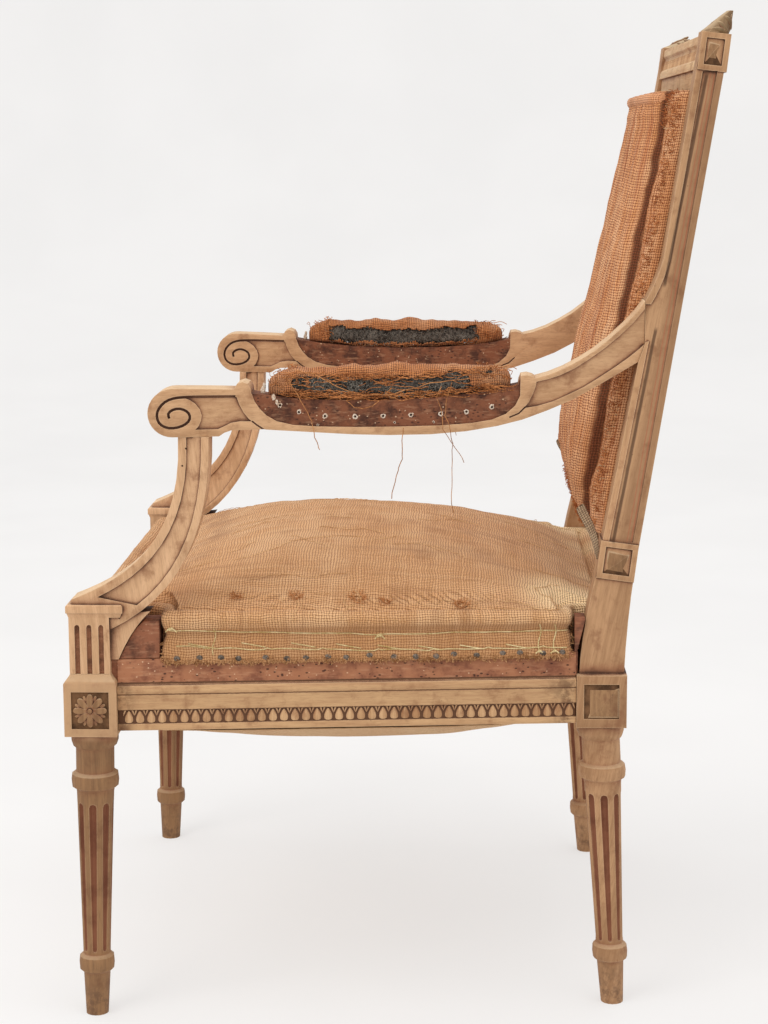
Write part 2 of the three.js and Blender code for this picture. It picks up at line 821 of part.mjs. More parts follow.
// Arm: outlines as shares of its run from scroll to joint and of its rise from stump to joint
const armBellyShares = [
  [0.096, 0], [0.107, 0.027], [0.121, 0.044], [0.149, 0.048], [0.184, 0.048], [0.234, 0.033],
  [0.3, 0.014], [0.377, -0.007], [0.453, -0.019], [0.541, -0.02], [0.617, -0.002], [0.683, 0.034],
  [0.737, 0.08], [0.792, 0.151], [0.847, 0.234], [0.912, 0.365], [0.986, 0.521],
];
const armSweepShares = [
  [1, 1], [0.982, 0.915], [0.956, 0.814], [0.923, 0.705], [0.891, 0.613], [0.858, 0.539],
  [0.825, 0.477], [0.792, 0.431], [0.764, 0.405],
];
const armTopShares = [
  [0.759, 0.419], [0.747, 0.432], [0.734, 0.426], [0.73, 0.392], [0.728, 0.352], [0.687, 0.323],
  [0.628, 0.292], [0.552, 0.268], [0.433, 0.255], [0.311, 0.267], [0.223, 0.295], [0.164, 0.328],
  [0.163, 0.368], [0.157, 0.405], [0.146, 0.421], [0.135, 0.407], [0.128, 0.363], [0.066, 0.371],
];
const fieldShares = [
  [0.163, 0.465], [0.164, 0.336], [0.171, 0.267], [0.181, 0.211], [0.195, 0.157], [0.217, 0.109],
  [0.25, 0.078], [0.3, 0.062], [0.381, 0.051], [0.464, 0.047], [0.562, 0.049], [0.628, 0.062],
  [0.672, 0.086], [0.702, 0.13], [0.722, 0.195], [0.732, 0.271], [0.733, 0.465],
];
const frontPanelShares = [
  [0.026, 0.304], [0.134, 0.304], [0.139, 0.247], [0.147, 0.187], [0.158, 0.134], [0.165, 0.112],
  [0.14, 0.115], [0.121, 0.104], [0.104, 0.073], [0.094, 0.057], [0.047, 0.056], [0.054, 0.082],
  [0.059, 0.122], [0.061, 0.167], [0.057, 0.215], [0.048, 0.259], [0.037, 0.287],
];
const sweepPanelShares = [
  [1.005, 0.682], [0.989, 0.626], [0.963, 0.551], [0.932, 0.473], [0.902, 0.403], [0.869, 0.33],
  [0.836, 0.273], [0.803, 0.221], [0.77, 0.188], [0.74, 0.171], [0.751, 0.219], [0.759, 0.279],
  [0.765, 0.336], [0.767, 0.378], [0.792, 0.397], [0.818, 0.426], [0.849, 0.478], [0.88, 0.548],
  [0.912, 0.63], [0.945, 0.729], [0.974, 0.829], [1.005, 0.964],
];
const mouldingTailShares = [
  [0.165, 0.114], [0.175, 0.083], [0.188, 0.051], [0.195, 0.03],
];
const mouldingTailBackShares = [
  [0.744, 0.183], [0.729, 0.13], [0.709, 0.101],
];
const voluteGrooveShares = [
  [2.57, 0.64], [1.80, 0.65], [1.03, 0.66], [0.52, 0.65], [0.13, 0.62], [-0.21, 0.51],
  [-0.47, 0.29], [-0.61, 0.01], [-0.59, -0.28], [-0.44, -0.49], [-0.17, -0.61], [0.18, -0.60],
  [0.50, -0.48], [0.69, -0.29], [0.69, -0.07], [0.53, 0.10], [0.26, 0.18], [-0.01, 0.12],
  [-0.16, -0.03], [-0.12, -0.22],
];

function armPoints(table) {
  return pairs(table.map(([along, up]) => [
    scrollCentre + armRun * along,
    armUnderside + armRise * up,
  ]));
}

function armOutline() {
  const scroll = [];
  for (let i = 1; i < scrollFacetCount; i += 1) {
    const angle = Math.PI / 2 + (i / scrollFacetCount) * Math.PI;
    scroll.push([
      scrollCentre + scrollRadius * Math.cos(angle),
      scrollHeight + scrollRadius * Math.sin(angle),
    ]);
  }
  return [
    ...armPoints(armBellyShares),
    ...pairs([[armJoint - fitGap, armJointFloor], [armJoint - fitGap, armJointTop]]),
    ...armPoints(armSweepShares).slice(1),
    ...armPoints(armTopShares),
    ...pairs([[scrollCentre, scrollHeight + scrollRadius], ...scroll]),
    ...pairs([[scrollCentre, armUnderside]]),
  ];
}

// A groove of one width along a curve
function grooveBand(curve, width) {
  return [...offsetPath(curve, width / 2), ...offsetPath(curve, -width / 2).reverse()];
}

function voluteGroove() {
  const points = voluteGrooveShares.map(([along, up]) => [
    scrollCentre + along * scrollRadius,
    scrollHeight + up * scrollRadius,
  ]);
  return grooveBand(spline(points, 2 * points.length - 4), voluteGrooveWidth);
}

function armTenon(grow = 0) {
  const height = (armJointTop + armJointFloor) / 2;
  const tenon = tenonBox(armTenonLength + 2 * cutOverrun, armTenonThickness, armTenonHeight, grow);
  return tenon.translate(armAxis(armJoint), armJoint + armTenonLength / 2 - cutOverrun, height);
}

function arm() {
  const splayed = (outline, thickness, centre) => {
    const sawn = slab(outline, thickness, armAxisFront + centre);
    return solidOf(slant(sawn, armSlant, 0, scrollCentre, 0));
  };
  const body = splayed(armOutline(), armThickness, 0);
  const outer = armThickness / 2;
  const tails = [mouldingTailShares, mouldingTailBackShares].map((table) => (
    grooveBand(armPoints(table), tailGrooveWidth)
  ));
  const cuts = [splayed(armPoints(sweepPanelShares), 2 * armPanelDepth, outer)];
  for (const face of [outer, -outer]) {
    cuts.push(splayed(voluteGroove(), 2 * voluteGrooveDepth, face));
    cuts.push(splayed(armPoints(frontPanelShares), 2 * armPanelDepth, face));
    cuts.push(splayed(armPoints(fieldShares), 2 * bedRecess, face));
    tails.forEach((tail) => cuts.push(splayed(tail, 2 * tailGrooveDepth, face)));
  }
  const dowelDepth = (stumpTopFront + stumpTopBack) / 2;
  cuts.push(solidOf(dowel(frontAxis + stumpLean, dowelDepth, armUnderside, 2 * dowelLength, fitGap)));
  return joined([cutFrom(body, cuts), solidOf(armTenon())]);
}

// Cross rails of the back and the leaf finials over the top dies
function crestTenon(grow = 0) {
  return backTenon(topDieCentre, topDiePlace(), topDieHeight / 2, grow);
}

function lowerRailTenon(grow = 0) {
  return backTenon(middleDieCentre, stileDieDepth(middleDieCentre), middleDieSize / 2, grow);
}

function backTenon(height, depth, tall, grow) {
  const inner = stileAxis(height) - stileThickness / 2;
  const reach = stileThickness / 2;
  const width = reach + 4 * cutOverrun;
  const tenon = box(width + 2 * grow, tenonThickness + 2 * grow, tall + 2 * grow);
  return tenon.translate(inner + reach - width / 2, depth, height);
}

// A bar between the stiles whose section leans with the back and whose ends follow their lean
function backBar(section, height, proud = 0) {
  const shape = new THREE.Shape(pairs(section));
  const reach = stileAxis(height) - stileThickness / 2 - proud - fitGap;
  const geometry = new THREE.ExtrudeGeometry(shape, { depth: 2 * reach, bevelEnabled: false });
  geometry.translate(0, 0, -reach).applyMatrix4(patternAxes);
  const place = geometry.attributes.position;
  for (let i = 0; i < place.count; i += 1) {
    const narrowing = stileInwardLean * (place.getZ(i) - height);
    place.setX(i, place.getX(i) - Math.sign(place.getX(i)) * narrowing);
  }
  return geometry;
}

// Depth of the crest's front face at a height, less what is cut into it
function crestFront(height, recess = 0) {
  return stileBack(height) - topDieDepth + crestRecess + recess;
}

function crestRail() {
  const back = (height) => stileBack(height) - 3 * fitGap;
  const top = backHeight - crestSink;
  const carvedFloor = top - crestCarvedHeight;
  const floor = top - crestHeight;
  const band = crestCarvedHeight / 3;
  const section = [
    [crestFront(floor, 2 * crestRebate), floor],
    [back(floor), floor],
    [back(top), top],
    [crestFront(top), top],
    [crestFront(top - band + crestBead), top - band + crestBead],
    [crestFront(top - band, crestBead), top - band],
    [crestFront(top - 2 * band, crestBead), top - 2 * band],
    [crestFront(top - 2 * band - crestBead), top - 2 * band - crestBead],
    [crestFront(carvedFloor), carvedFloor],
    [crestFront(carvedFloor, crestRebate), carvedFloor - 2 * fitGap],
  ];
  const bar = solidOf(backBar(section, topDieCentre));
  const tenon = solidOf(crestTenon());
  return joined([bar, tenon, tenon.mirror([1, 0, 0])]);
}

// Depth of the lower rail's front face at a height, less what is cut into it
function lowerRailFront(height, recess = 0) {
  const lean = stileFrontSlope * 0.7 * (height - middleDieCentre);
  return stileDieDepth(middleDieCentre) + lean - lowerRailThickness / 2 + recess;
}

function lowerBackRail() {
  const half = lowerRailHeight / 2;
  const front = lowerRailFront;
  const back = (height) => lowerRailFront(height) + lowerRailThickness;
  const top = middleDieCentre + half;
  const floor = middleDieCentre - half;
  const band = lowerRailHeight / 4;
  const section = [
    [front(floor), floor],
    [back(floor), floor],
    [back(top), top],
    [front(top, crestRebate), top],
    [front(top - band, crestRebate), top - band],
    [front(top - band - fitGap), top - band - fitGap],
    [front(floor + 2 * band), floor + 2 * band],
    [front(floor + 2 * band - crestBead, crestBead), floor + 2 * band - crestBead],
    [front(floor + band, crestBead), floor + band],
    [front(floor + band - fitGap), floor + band - fitGap],
  ];
  const bar = solidOf(backBar(section, middleDieCentre, middleDieProud));
  const tenon = solidOf(lowerRailTenon());
  return joined([bar, tenon, tenon.mirror([1, 0, 0])]);
}

function finialPin(grow = 0) {
  const pin = new THREE.CylinderGeometry(finialPinRadius + grow, finialPinRadius + grow,
    2 * finialPinLength + 2 * grow, 10).rotateX(Math.PI / 2);
  return pin.translate(stileAxis(backHeight), stileBack(backHeight) - topDieDepth * 0.45, backHeight);
}

// A curled leaf: lobed rings that climb and lean back over the die
function finial(height) {
  const rings = [];
  const steps = 6;
  const sides = 3 * finialLobeCount;
  for (let s = 0; s <= steps; s += 1) {
    const up = s / steps;
    const halfDepth = topDieDepth / 2 * (0.96 - 0.74 * up ** 1.3);
    const halfWidth = stileThickness / 2 * (0.88 - 0.5 * up ** 1.6);
    const leanBack = (topDieDepth / 2 + finialOverhang) * up ** 0.8 - halfDepth * 0.3 * up;
    const centreDepth = stileBack(backHeight) - topDieDepth / 2 + leanBack;
    const ring = [];
    for (let i = 0; i < sides; i += 1) {
      const angle = (i / sides) * 2 * Math.PI;
      const lobe = 1 - 0.13 * up * (1 - up) * 4 * (0.5 + 0.5 * Math.cos(finialLobeCount * angle));
      const tilt = -Math.sin(topDieTilt) * halfDepth * Math.sin(angle) * (1 - up);
      ring.push(new THREE.Vector3(
        stileAxis(backHeight) + halfWidth * lobe * Math.cos(angle),
        centreDepth + halfDepth * lobe * Math.sin(angle),
        backHeight + fitGap + height * up + tilt,
      ));
    }
    rings.push(ring);
  }
  return joined([solidOf(loft(rings)), solidOf(finialPin())]);
}

// Filler blocks between the frame and the stuffing
const rearBlockFront = seatBackFace - rearBlockLap;

function frontBlock() {
  const floor = railTop + fitGap;
  const toe = toeCurve().filter((p) => p.y < blockTop);
  const toeTop = toe[toe.length - 1].x + cutOverrun * 3.5;
  const outline = [...offsetPath(toe, -fitGap * 2), ...pairs([
    [toeTop, blockTop], [frontBlockBack, blockTop], [frontBlockBack, floor],
  ])];
  outline.forEach((p) => p.setY(Math.max(floor, p.y)));
  const rebateFace = frontAxis + frontDieWidth / 2 - railSetback - rebateDepth - rebateBevel;
  const centre = rebateFace - blockThickness / 2 - frontBlockInset;
  return solidOf(slant(slab(outline, blockThickness, centre), sideSlant, 0));
}

function rearBlock() {
  const floor = railTop + fitGap;
  const top = blockTop - rearBlockDrop;
  const outline = [
    [rearBlockFront, floor],
    [seatDepth + stileBaseFront - rearBlockClearance, floor],
    [stileFront(blockTop) - rearBlockClearance, top],
    [rearBlockFront, top],
  ];
  const centre = backAxis + (stileThickness - blockThickness) / 2 + frontBlockInset;
  return solidOf(slab(outline, blockThickness, centre));
}

// Sagging webs, woven over and under, tacked under the rails
const openingFront = -frontDieWidth / 2 + railSetback + railThickness;
const openingBack = seatDepth + backDieWidth / 2 - railSetback - railThickness;
const openingMiddle = (openingFront + openingBack) / 2;
const openingReach = (openingBack - openingFront) / 2;

function openingHalfWidth(depth) {
  return sideAxis(depth) + frontDieWidth / 2 - railSetback - railThickness;
}

function sagShare(x, y) {
  const u = Math.min(1, Math.abs(x) / openingHalfWidth(y));
  const v = Math.min(1, Math.abs(y - openingMiddle) / openingReach);
  return (1 - u * u) * (1 - v * v);
}

// A strip under the rails: point(s, t) gives its place for a share along and a share across
function strip(point, stations, acrossSteps, thickness) {
  const rings = [];
  for (let s = 0; s <= stations; s += 1) {
    const top = [];
    const bottom = [];
    for (let a = 0; a <= acrossSteps; a += 1) {
      const p = point(s / stations, a / acrossSteps);
      top.push(new THREE.Vector3(p.x, p.y, p.z + thickness / 2));
      bottom.push(new THREE.Vector3(p.x, p.y, p.z - thickness / 2));
    }
    rings.push([...bottom, ...top.reverse()]);
  }
  return loft(rings);
}

const webLevel = railUnderside - fitGap - webThickness / 2;

function webOffsetShare(index) {
  return (index + 1) / (webCount + 1);
}

function crossWebDepth(index) {
  return openingFront + (openingBack - openingFront) * webOffsetShare(index);
}

function longWebPlace(index, depth) {
  return openingHalfWidth(depth) * (2 * webOffsetShare(index) - 1);
}

// Height of the weave: a web passes over the crossing ones in turn, and is flat on the rails
function weaveAt(share, phase) {
  return webWeave * Math.cos((share * (webCount + 1) + phase) * Math.PI);
}

function webHeight(x, y, weave) {
  return webLevel - webSag * sagShare(x, y) + weave;
}

function crossWeb(index) {
  const depth = crossWebDepth(index);
  const half = openingHalfWidth(depth) + railThickness * 0.6;
  const point = (s, a) => {
    const x = (2 * s - 1) * half;
    const y = depth + (a - 0.5) * webWidth;
    const share = (x / openingHalfWidth(depth) + 1) / 2;
    const inside = share > 0 && share < 1;
    const weave = inside ? weaveAt(share, index) * sagBlend(share) : 0;
    return new THREE.Vector3(x, y, webHeight(x, y, weave));
  };
  return solidOf(strip(point, webStationCount * 2, 2, webThickness));
}

// Fades the weave out over the rails, where every web lies flat
function sagBlend(share) {
  const edge = Math.min(share, 1 - share) * (webCount + 1);
  return Math.min(1, edge * 2);
}

function longWeb(index) {
  const front = openingFront - railThickness * 0.6;
  const back = openingBack + railThickness * 0.6;
  const point = (s, a) => {
    const y = front + (back - front) * s;
    const inner = Math.min(openingBack, Math.max(openingFront, y));
    const x = longWebPlace(index, inner) + (0.5 - a) * webWidth;
    const share = (y - openingFront) / (openingBack - openingFront);
    const inside = share > 0 && share < 1;
    const weave = inside ? weaveAt(share, index + 1) * sagBlend(share) : 0;
    return new THREE.Vector3(x, y, webHeight(x, y, weave));
  };
  return solidOf(strip(point, webStationCount * 2, 2, webThickness));
}

// Least free space between points of the wire that lie at least half a turn apart
let springGap = Infinity;

function leastTurnGap(points) {
  let gap = Infinity;
  points.forEach((point, i) => {
    points.slice(i + springStepCount / 2).forEach((other) => {
      gap = Math.min(gap, point.distanceTo(other) - 2 * springWireRadius);
    });
  });
  return gap;
}

// Double-cone spring from the webs to the stuffing, one unbroken wire
function spring(x0, y0) {
  const points = [];
  const total = springTurnCount * springStepCount;
  const roof = railTop + seatPocketRise - 2 * fitGap - springWireRadius;
  const clearance = webWeave + webThickness / 2 + springWireRadius + fitGap;
  for (let i = 0; i <= total; i += 1) {
    const up = i / total;
    const angle = up * springTurnCount * 2 * Math.PI;
    const pinch = Math.sin(up * Math.PI) ** 1.5;
    const radius = springEndRadius + (springWaistRadius - springEndRadius) * pinch;
    const x = x0 + radius * Math.cos(angle);
    const y = y0 + radius * Math.sin(angle);
    const floor = webLevel - webSag * sagShare(x, y) + clearance;
    const lift = Math.min(1, Math.max(0, (up - 0.04) / 0.92));
    points.push(new THREE.Vector3(x, y, floor + (roof - floor) * lift));
  }
  springGap = Math.min(springGap, leastTurnGap(points));
  const path = new THREE.CatmullRomCurve3(points);
  const wire = [];
  for (let i = 0; i < springWireSideCount; i += 1) {
    const angle = (i / springWireSideCount) * 2 * Math.PI;
    wire.push([springWireRadius * Math.cos(angle), springWireRadius * Math.sin(angle)]);
  }
  return new THREE.ExtrudeGeometry(new THREE.Shape(pairs(wire)), {
    steps: total, extrudePath: path, bevelEnabled: false,
  });
}

// Depths of the cloth's rows, whose corners are cut off slantwise to clear the dies
function clothRows(front, back) {
  const clear = 2 * fitGap;
  const frontStep = frontDieWidth / 2 + clear;
  const backStep = seatDepth - backDieWidth / 2 - clear;
  const rows = [front, frontStep];
  for (let i = 0; i <= clothSpanCount; i += 1) {
    const share = i / clothSpanCount;
    rows.push(frontStep + clothCorner + (backStep - frontStep - 2 * clothCorner) * share);
  }
  return [...rows, backStep, back];
}

// Belly cloth under the webs, tacked to the rails and cut away round the dies
function bottomCloth() {
  const lap = railThickness * 0.5;
  const rows = clothRows(openingFront - lap, openingBack + lap);
  const level = webLevel - (webThickness + clothThickness) / 2 - 2 * fitGap;
  const clear = 2 * fitGap;
  const halfWidth = (row, y) => {
    if (row < 2) return frontAxis - frontDieWidth / 2 - clear;
    if (row > rows.length - 3) return backAxis - backDieWidth / 2 - clear;
    return openingHalfWidth(y) + lap;
  };
  const point = (s, a) => {
    const row = Math.round(s * (rows.length - 1));
    const y = rows[row];
    const x = (0.5 - a) * 2 * halfWidth(row, y);
    const wave = clothWave * Math.sin(s * 3 * Math.PI) * Math.cos(a * 2 * Math.PI);
    const u = Math.min(1, Math.abs(x) / openingHalfWidth(y));
    const v = Math.min(1, Math.abs(y - openingMiddle) / openingReach);
    const fall = (1 - u ** 2) ** clothEdgeShare * (1 - v ** 3);
    return new THREE.Vector3(x, y, level - (clothSag + wave) * fall);
  };
  return solidOf(strip(point, rows.length - 1, clothColumnCount, clothThickness));
}

// Seat stuffing: rings that follow the frame in plan, over a pocket for the springs
function seatPlan(angle) {
  const c = Math.cos(angle);
  const s = Math.sin(angle);
  const u = Math.sign(c) * Math.abs(c) ** seatSquarenessShare;
  const v = Math.sign(s) * Math.abs(s) ** seatSquarenessShare;
  const front = -seatFrontOverhang;
  const back = seatDepth + seatBackEdge;
  const y = (front + back) / 2 + ((back - front) / 2) * v;
  const side = frontAxis + frontDieWidth / 2 - railSetback - rebateDepth - rebateBevel;
  return new THREE.Vector2(u * (side + sideSlant * y), y);
}

const seatPadFloor = railTop + fitGap;

// The crown dies away quickly at the front edge and slowly towards the back
function crownShare(along) {
  return along < 0 ? 1 - 0.95 * (-along) ** 3.3 : 1 - 0.5 * along ** 1.9;
}

// Rows: share of the plan's reach, height above the floor as a share of the edge, crown share
const seatRowShares = [
  [0.97, 0, 0], [0.985, 0.3, 0], [0.98, 0.62, 0], [1, 0.8, 0], [0.995, 0.96, 0], [0.975, 1, 0],
  [0.955, 0.95, 0.02], [0.91, 1, 0.13], [0.8, 1, 0.37], [0.62, 1, 0.65], [0.4, 1, 0.87], [0.18, 1, 0.98],
];

function seatPad() {
  const middle = (-seatFrontOverhang + seatDepth + seatBackEdge) / 2;
  const rings = seatRowShares.map(([reach, rise, crown]) => {
    const ring = [];
    for (let i = 0; i < padRingStepCount; i += 1) {
      const p = seatPlan((i / padRingStepCount) * 2 * Math.PI);
      const y = middle + (p.y - middle) * reach;
      const edge = seatEdgeHeight - seatPadFloor - (seatEdgeFall * (y - middle)) / (2 * middle);
      const height = seatPadFloor + edge * rise + seatCrown * crown * crownShare((y - middle) / middle);
      ring.push(new THREE.Vector3(p.x * reach, y, height));
    }
    return ring;
  });
  const body = solidOf(loft(rings));
  const inset = fitGap * 4;
  const pocketPlan = [
    [openingHalfWidth(openingFront) - inset, openingFront + inset],
    [openingHalfWidth(openingBack) - inset, openingBack - inset],
    [-openingHalfWidth(openingBack) + inset, openingBack - inset],
    [-openingHalfWidth(openingFront) + inset, openingFront + inset],
  ];
  const pocket = new THREE.ExtrudeGeometry(new THREE.Shape(pairs(pocketPlan)), {
    depth: seatPocketRise + cutOverrun, bevelEnabled: false,
  }).translate(0, 0, seatPadFloor - cutOverrun);
  const tall = seatCrown + seatEdgeHeight - seatPadFloor;
  const clear = 2 * fitGap;
  const frontWidth = frontDieWidth + blockThickness;
  const corner = box(frontWidth, frontDieWidth + 4 * clear, 2 * tall,
    frontAxis + blockThickness / 2 - railSetback, 0, seatPadFloor + tall / 2);
  const blockCut = box(frontWidth, 2 * frontBlockBack + 2 * clear, 2 * tall,
    frontAxis + blockThickness / 2 - clear, 0, seatPadFloor + tall / 2);
  const stileCut = box(stileThickness * 3, 3 * backDieWidth, 3 * tall,
    backAxis + stileThickness - clear, rearBlockFront + 1.5 * backDieWidth - clear,
    seatPadFloor + tall / 2);
  slant(stileCut, 0, -stileInwardLean, 0, dieTop);
  const cutters = [solidOf(pocket)];
  for (const cut of [corner, blockCut, stileCut]) {
    const one = solidOf(cut);
    cutters.push(one, one.mirror([1, 0, 0]));
  }
  return cutFrom(body, cutters);
}

// Back: the stuffed pad between the stiles, and the webs behind it
function backHalfWidth(height) {
  return stileAxis(height) - stileThickness / 2;
}

// Levels of the pad up the back, and how full it stands there
const backLevelShares = [
  [0, 0.37], [0.065, 0.79], [0.104, 1], [0.19, 1.05], [0.41, 1.05], [0.5, 0.95], [0.64, 0.9],
  [0.75, 0.82], [0.88, 0.79], [0.98, 0.78], [1, 0.7],
];

// Across the pad: shares of its half width and of its fullness, with a fold near each side
const backSectionShares = [
  [1, 0.06], [0.94, 0.32], [0.87, 0.44], [0.84, 0.52], [0.81, 0.9], [0.72, 1], [0.35, 1.02], [0, 1.04],
];

function backPad() {
  const floor = middleDieCentre + lowerRailHeight / 2 + backPadLift;
  const top = backWebTop;
  const half = backSectionShares;
  const section = [...half, ...half.slice(0, -1).reverse().map(([u, d]) => [-u, d])];
  const rings = backLevelShares.map(([up, fullness]) => {
    const height = floor + (top - floor) * up;
    const reach = backHalfWidth(height) - 2 * fitGap;
    const rear = backWebPlane(height) - webThickness / 2 - webWeave - 2 * fitGap;
    const ring = section.map(([u, d]) => new THREE.Vector3(
      u * reach,
      stileFront(height) - backPadThickness * fullness * d,
      height,
    ));
    ring.push(new THREE.Vector3(-reach, rear, height), new THREE.Vector3(reach, rear, height));
    return ring.reverse();
  });
  const armEnd = solidOf(slant(slab(armOutline(), armThickness + 4 * fitGap, armAxisFront),
    armSlant, 0, scrollCentre, 0));
  return cutFrom(solidOf(loft(rings)), [armEnd, armEnd.mirror([1, 0, 0])]);
}

// The webs lie in the plane of the rebates in the lower rail and in the crest
function backWebPlane(height) {
  const share = (height - backWebFloor) / (backWebTop - backWebFloor);
  const low = lowerRailFront(backWebFloor, crestRebate);
  const high = crestFront(backWebTop, 1.5 * crestRebate);
  return low + (high - low) * share - webThickness / 2 - 2 * fitGap;
}

function backWeb(index, upright) {
  const floor = backWebFloor;
  const top = backWebTop;
  const half = webThickness / 2;
  const rings = [];
  for (let s = 0; s <= webStationCount; s += 1) {
    const share = s / webStationCount;
    const side = (across, out) => {
      if (upright) {
        const height = floor + (top - floor) * share;
        const weave = webWeave * (index % 2 ? -1 : 1) * Math.cos(share * webCount * Math.PI);
        const lap = Math.min(1, 4 * Math.min(share, 1 - share));
        const x = backHalfWidth(height) * (index - 1) * 0.5 + (across * webWidth) / 2;
        return new THREE.Vector3(x, backWebPlane(height) + weave * lap + out * half, height);
      }
      const height = floor + (top - floor) * (index + 1) / webCount + (across * webWidth) / 2;
      const reach = backHalfWidth(height) - fitGap;
      const weave = webWeave * (index % 2 ? 1 : -1) * Math.cos(share * (webCount + 1) * Math.PI);
      const x = reach * (2 * share - 1);
      return new THREE.Vector3(x, backWebPlane(height) + weave + out * half, height);
    };
    const ring = [side(-1, -1), side(1, -1), side(1, 1), side(-1, 1)];
    rings.push(upright ? ring : ring.reverse());
  }
  return solidOf(loft(rings));
}

// Torn arm pad: a low roll whose ends droop, cut to the bed that it lies on
function armPad() {
  const rings = [];
  const sides = 12;
  for (let s = 0; s <= armPadStepCount; s += 1) {
    const share = s / armPadStepCount;
    const along = armPadFrontShare + (armPadBackShare - armPadFrontShare) * share;
    const depth = scrollCentre + armRun * along;
    const end = Math.min(1, 0.74 + 3.2 * Math.min(share, 1 - share));
    const dish = armPadThickness * 0.32 * (2 * share - 1) ** 2;
    const ring = [];
    for (let i = 0; i < sides; i += 1) {
      const angle = (i / sides) * 2 * Math.PI;
      const c = Math.cos(angle);
      const z = Math.sin(angle);
      const x = (armPadWidth / 2) * (0.6 + 0.4 * end) * Math.sign(c) * Math.abs(c) ** 0.6;
      const up = 0.5 + 0.5 * Math.sign(z) * Math.abs(z) ** 0.6;
      const rise = armUnderside + armPadTop - armPadFloor - dish * 0.2;
      const height = armPadFloor + dish + rise * end * up;
      ring.push(new THREE.Vector3(armAxis(depth) + x, depth, height));
    }
    rings.push(ring.reverse());
  }
  const bed = slab(armOutline(), 2 * armThickness, armAxisFront);
  const bedCut = solidOf(slant(bed, armSlant, 0, scrollCentre, 0)).translate([0, 0, fitGap]);
  return solidOf(loft(rings)).subtract(bedCut);
}

// Finishes
const finishes = {
  beech: { color: 0xc8a67c, roughness: 0.75, metalness: 0 },
  roughWood: { color: 0x7d5242, roughness: 0.9, metalness: 0 },
  burlap: { color: 0xbf9463, roughness: 0.95, metalness: 0 },
  rustBurlap: { color: 0xb87a4b, roughness: 0.95, metalness: 0 },
  webbing: { color: 0xa98f68, roughness: 0.95, metalness: 0 },
  steel: { color: 0x6f665c, roughness: 0.5, metalness: 0.9 },
  linen: { color: 0xd8c6a6, roughness: 0.95, metalness: 0 },
};

const chair = new THREE.Group();
const leftSide = new THREE.Group();
const rightSide = new THREE.Group();
rightSide.scale.x = -1;
chair.add(leftSide, rightSide);

function addPiece(parent, name, shape, finish) {
  const geometry = shape.isBufferGeometry ? shape : geometryOf(shape);
  const mesh = new THREE.Mesh(geometry, new THREE.MeshStandardMaterial(finishes[finish]));
  mesh.name = name;
  parent.add(mesh);
  return mesh;
}

function addPair(name, shape, finish) {
  addPiece(leftSide, `${name}_left`, shape, finish);
  addPiece(rightSide, `${name}_right`, shape, finish);
}

addPair('front_leg', frontLeg(), 'beech');
addPair('back_leg', backLeg(), 'beech');
addPair('side_rail', sideRail(), 'beech');
addPair('arm_support', armSupport(), 'beech');
addPair('arm', arm(), 'beech');
addPiece(leftSide, 'finial_left', finial(finialHeight), 'beech');
addPiece(rightSide, 'finial_right', finial(wornFinialHeight), 'beech');
addPair('front_block', frontBlock(), 'roughWood');
addPair('rear_block', rearBlock(), 'roughWood');
addPair('arm_pad', armPad(), 'rustBurlap');
addPiece(chair, 'front_rail', crossRail(frontAxis, frontDieWidth, 0, true), 'beech');
addPiece(chair, 'back_rail', crossRail(backAxis, backDieWidth, seatDepth, false), 'beech');
addPiece(chair, 'crest_rail', crestRail(), 'beech');
addPiece(chair, 'lower_back_rail', lowerBackRail(), 'beech');

for (let i = 0; i < webCount; i += 1) {
  addPiece(chair, `seat_cross_web_${i + 1}`, crossWeb(i), 'webbing');
  addPiece(chair, `seat_long_web_${i + 1}`, longWeb(i), 'webbing');
  addPiece(chair, `back_upright_web_${i + 1}`, backWeb(i, true), 'webbing');
}
for (let i = 0; i < webCount - 1; i += 1) {
  addPiece(chair, `back_cross_web_${i + 1}`, backWeb(i, false), 'webbing');
}

const springPlaces = [[0, 0], [0, 2], [2, 0], [2, 2], [1, 1]];
springPlaces.forEach(([across, along], i) => {
  const depth = crossWebDepth(along);
  addPiece(chair, `seat_spring_${i + 1}`, spring(longWebPlace(across, depth), depth), 'steel');
});

console.log(`least gap between the turns of a spring: ${springGap.toFixed(1)} mm`);

addPiece(chair, 'bottom_cloth', bottomCloth(), 'linen');
addPiece(chair, 'seat_pad', seatPad(), 'burlap');
addPiece(chair, 'back_pad', backPad(), 'rustBurlap');

// The origin lies on the floor under the middle of the chair
const reach = new THREE.Box3().setFromObject(chair);
chair.position.y = -(reach.min.y + reach.max.y) / 2;

export default chair;
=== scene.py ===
"""Looks for an open armchair that is stripped to its carved frame, burlap and horsehair.

Sizes are in millimetres, in the chair's side frame: x runs from the middle of the chair to the
sitter's left, d runs back from the axis of the front legs, and z runs up from the floor.
place() turns them into Blender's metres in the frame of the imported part.
"""

import logging
import math
import random
from contextlib import contextmanager
from dataclasses import dataclass, field
from enum import Enum
from typing import Callable, Iterable, Iterator, Sequence

import bmesh
import bpy
from mathutils import Matrix, Vector, noise


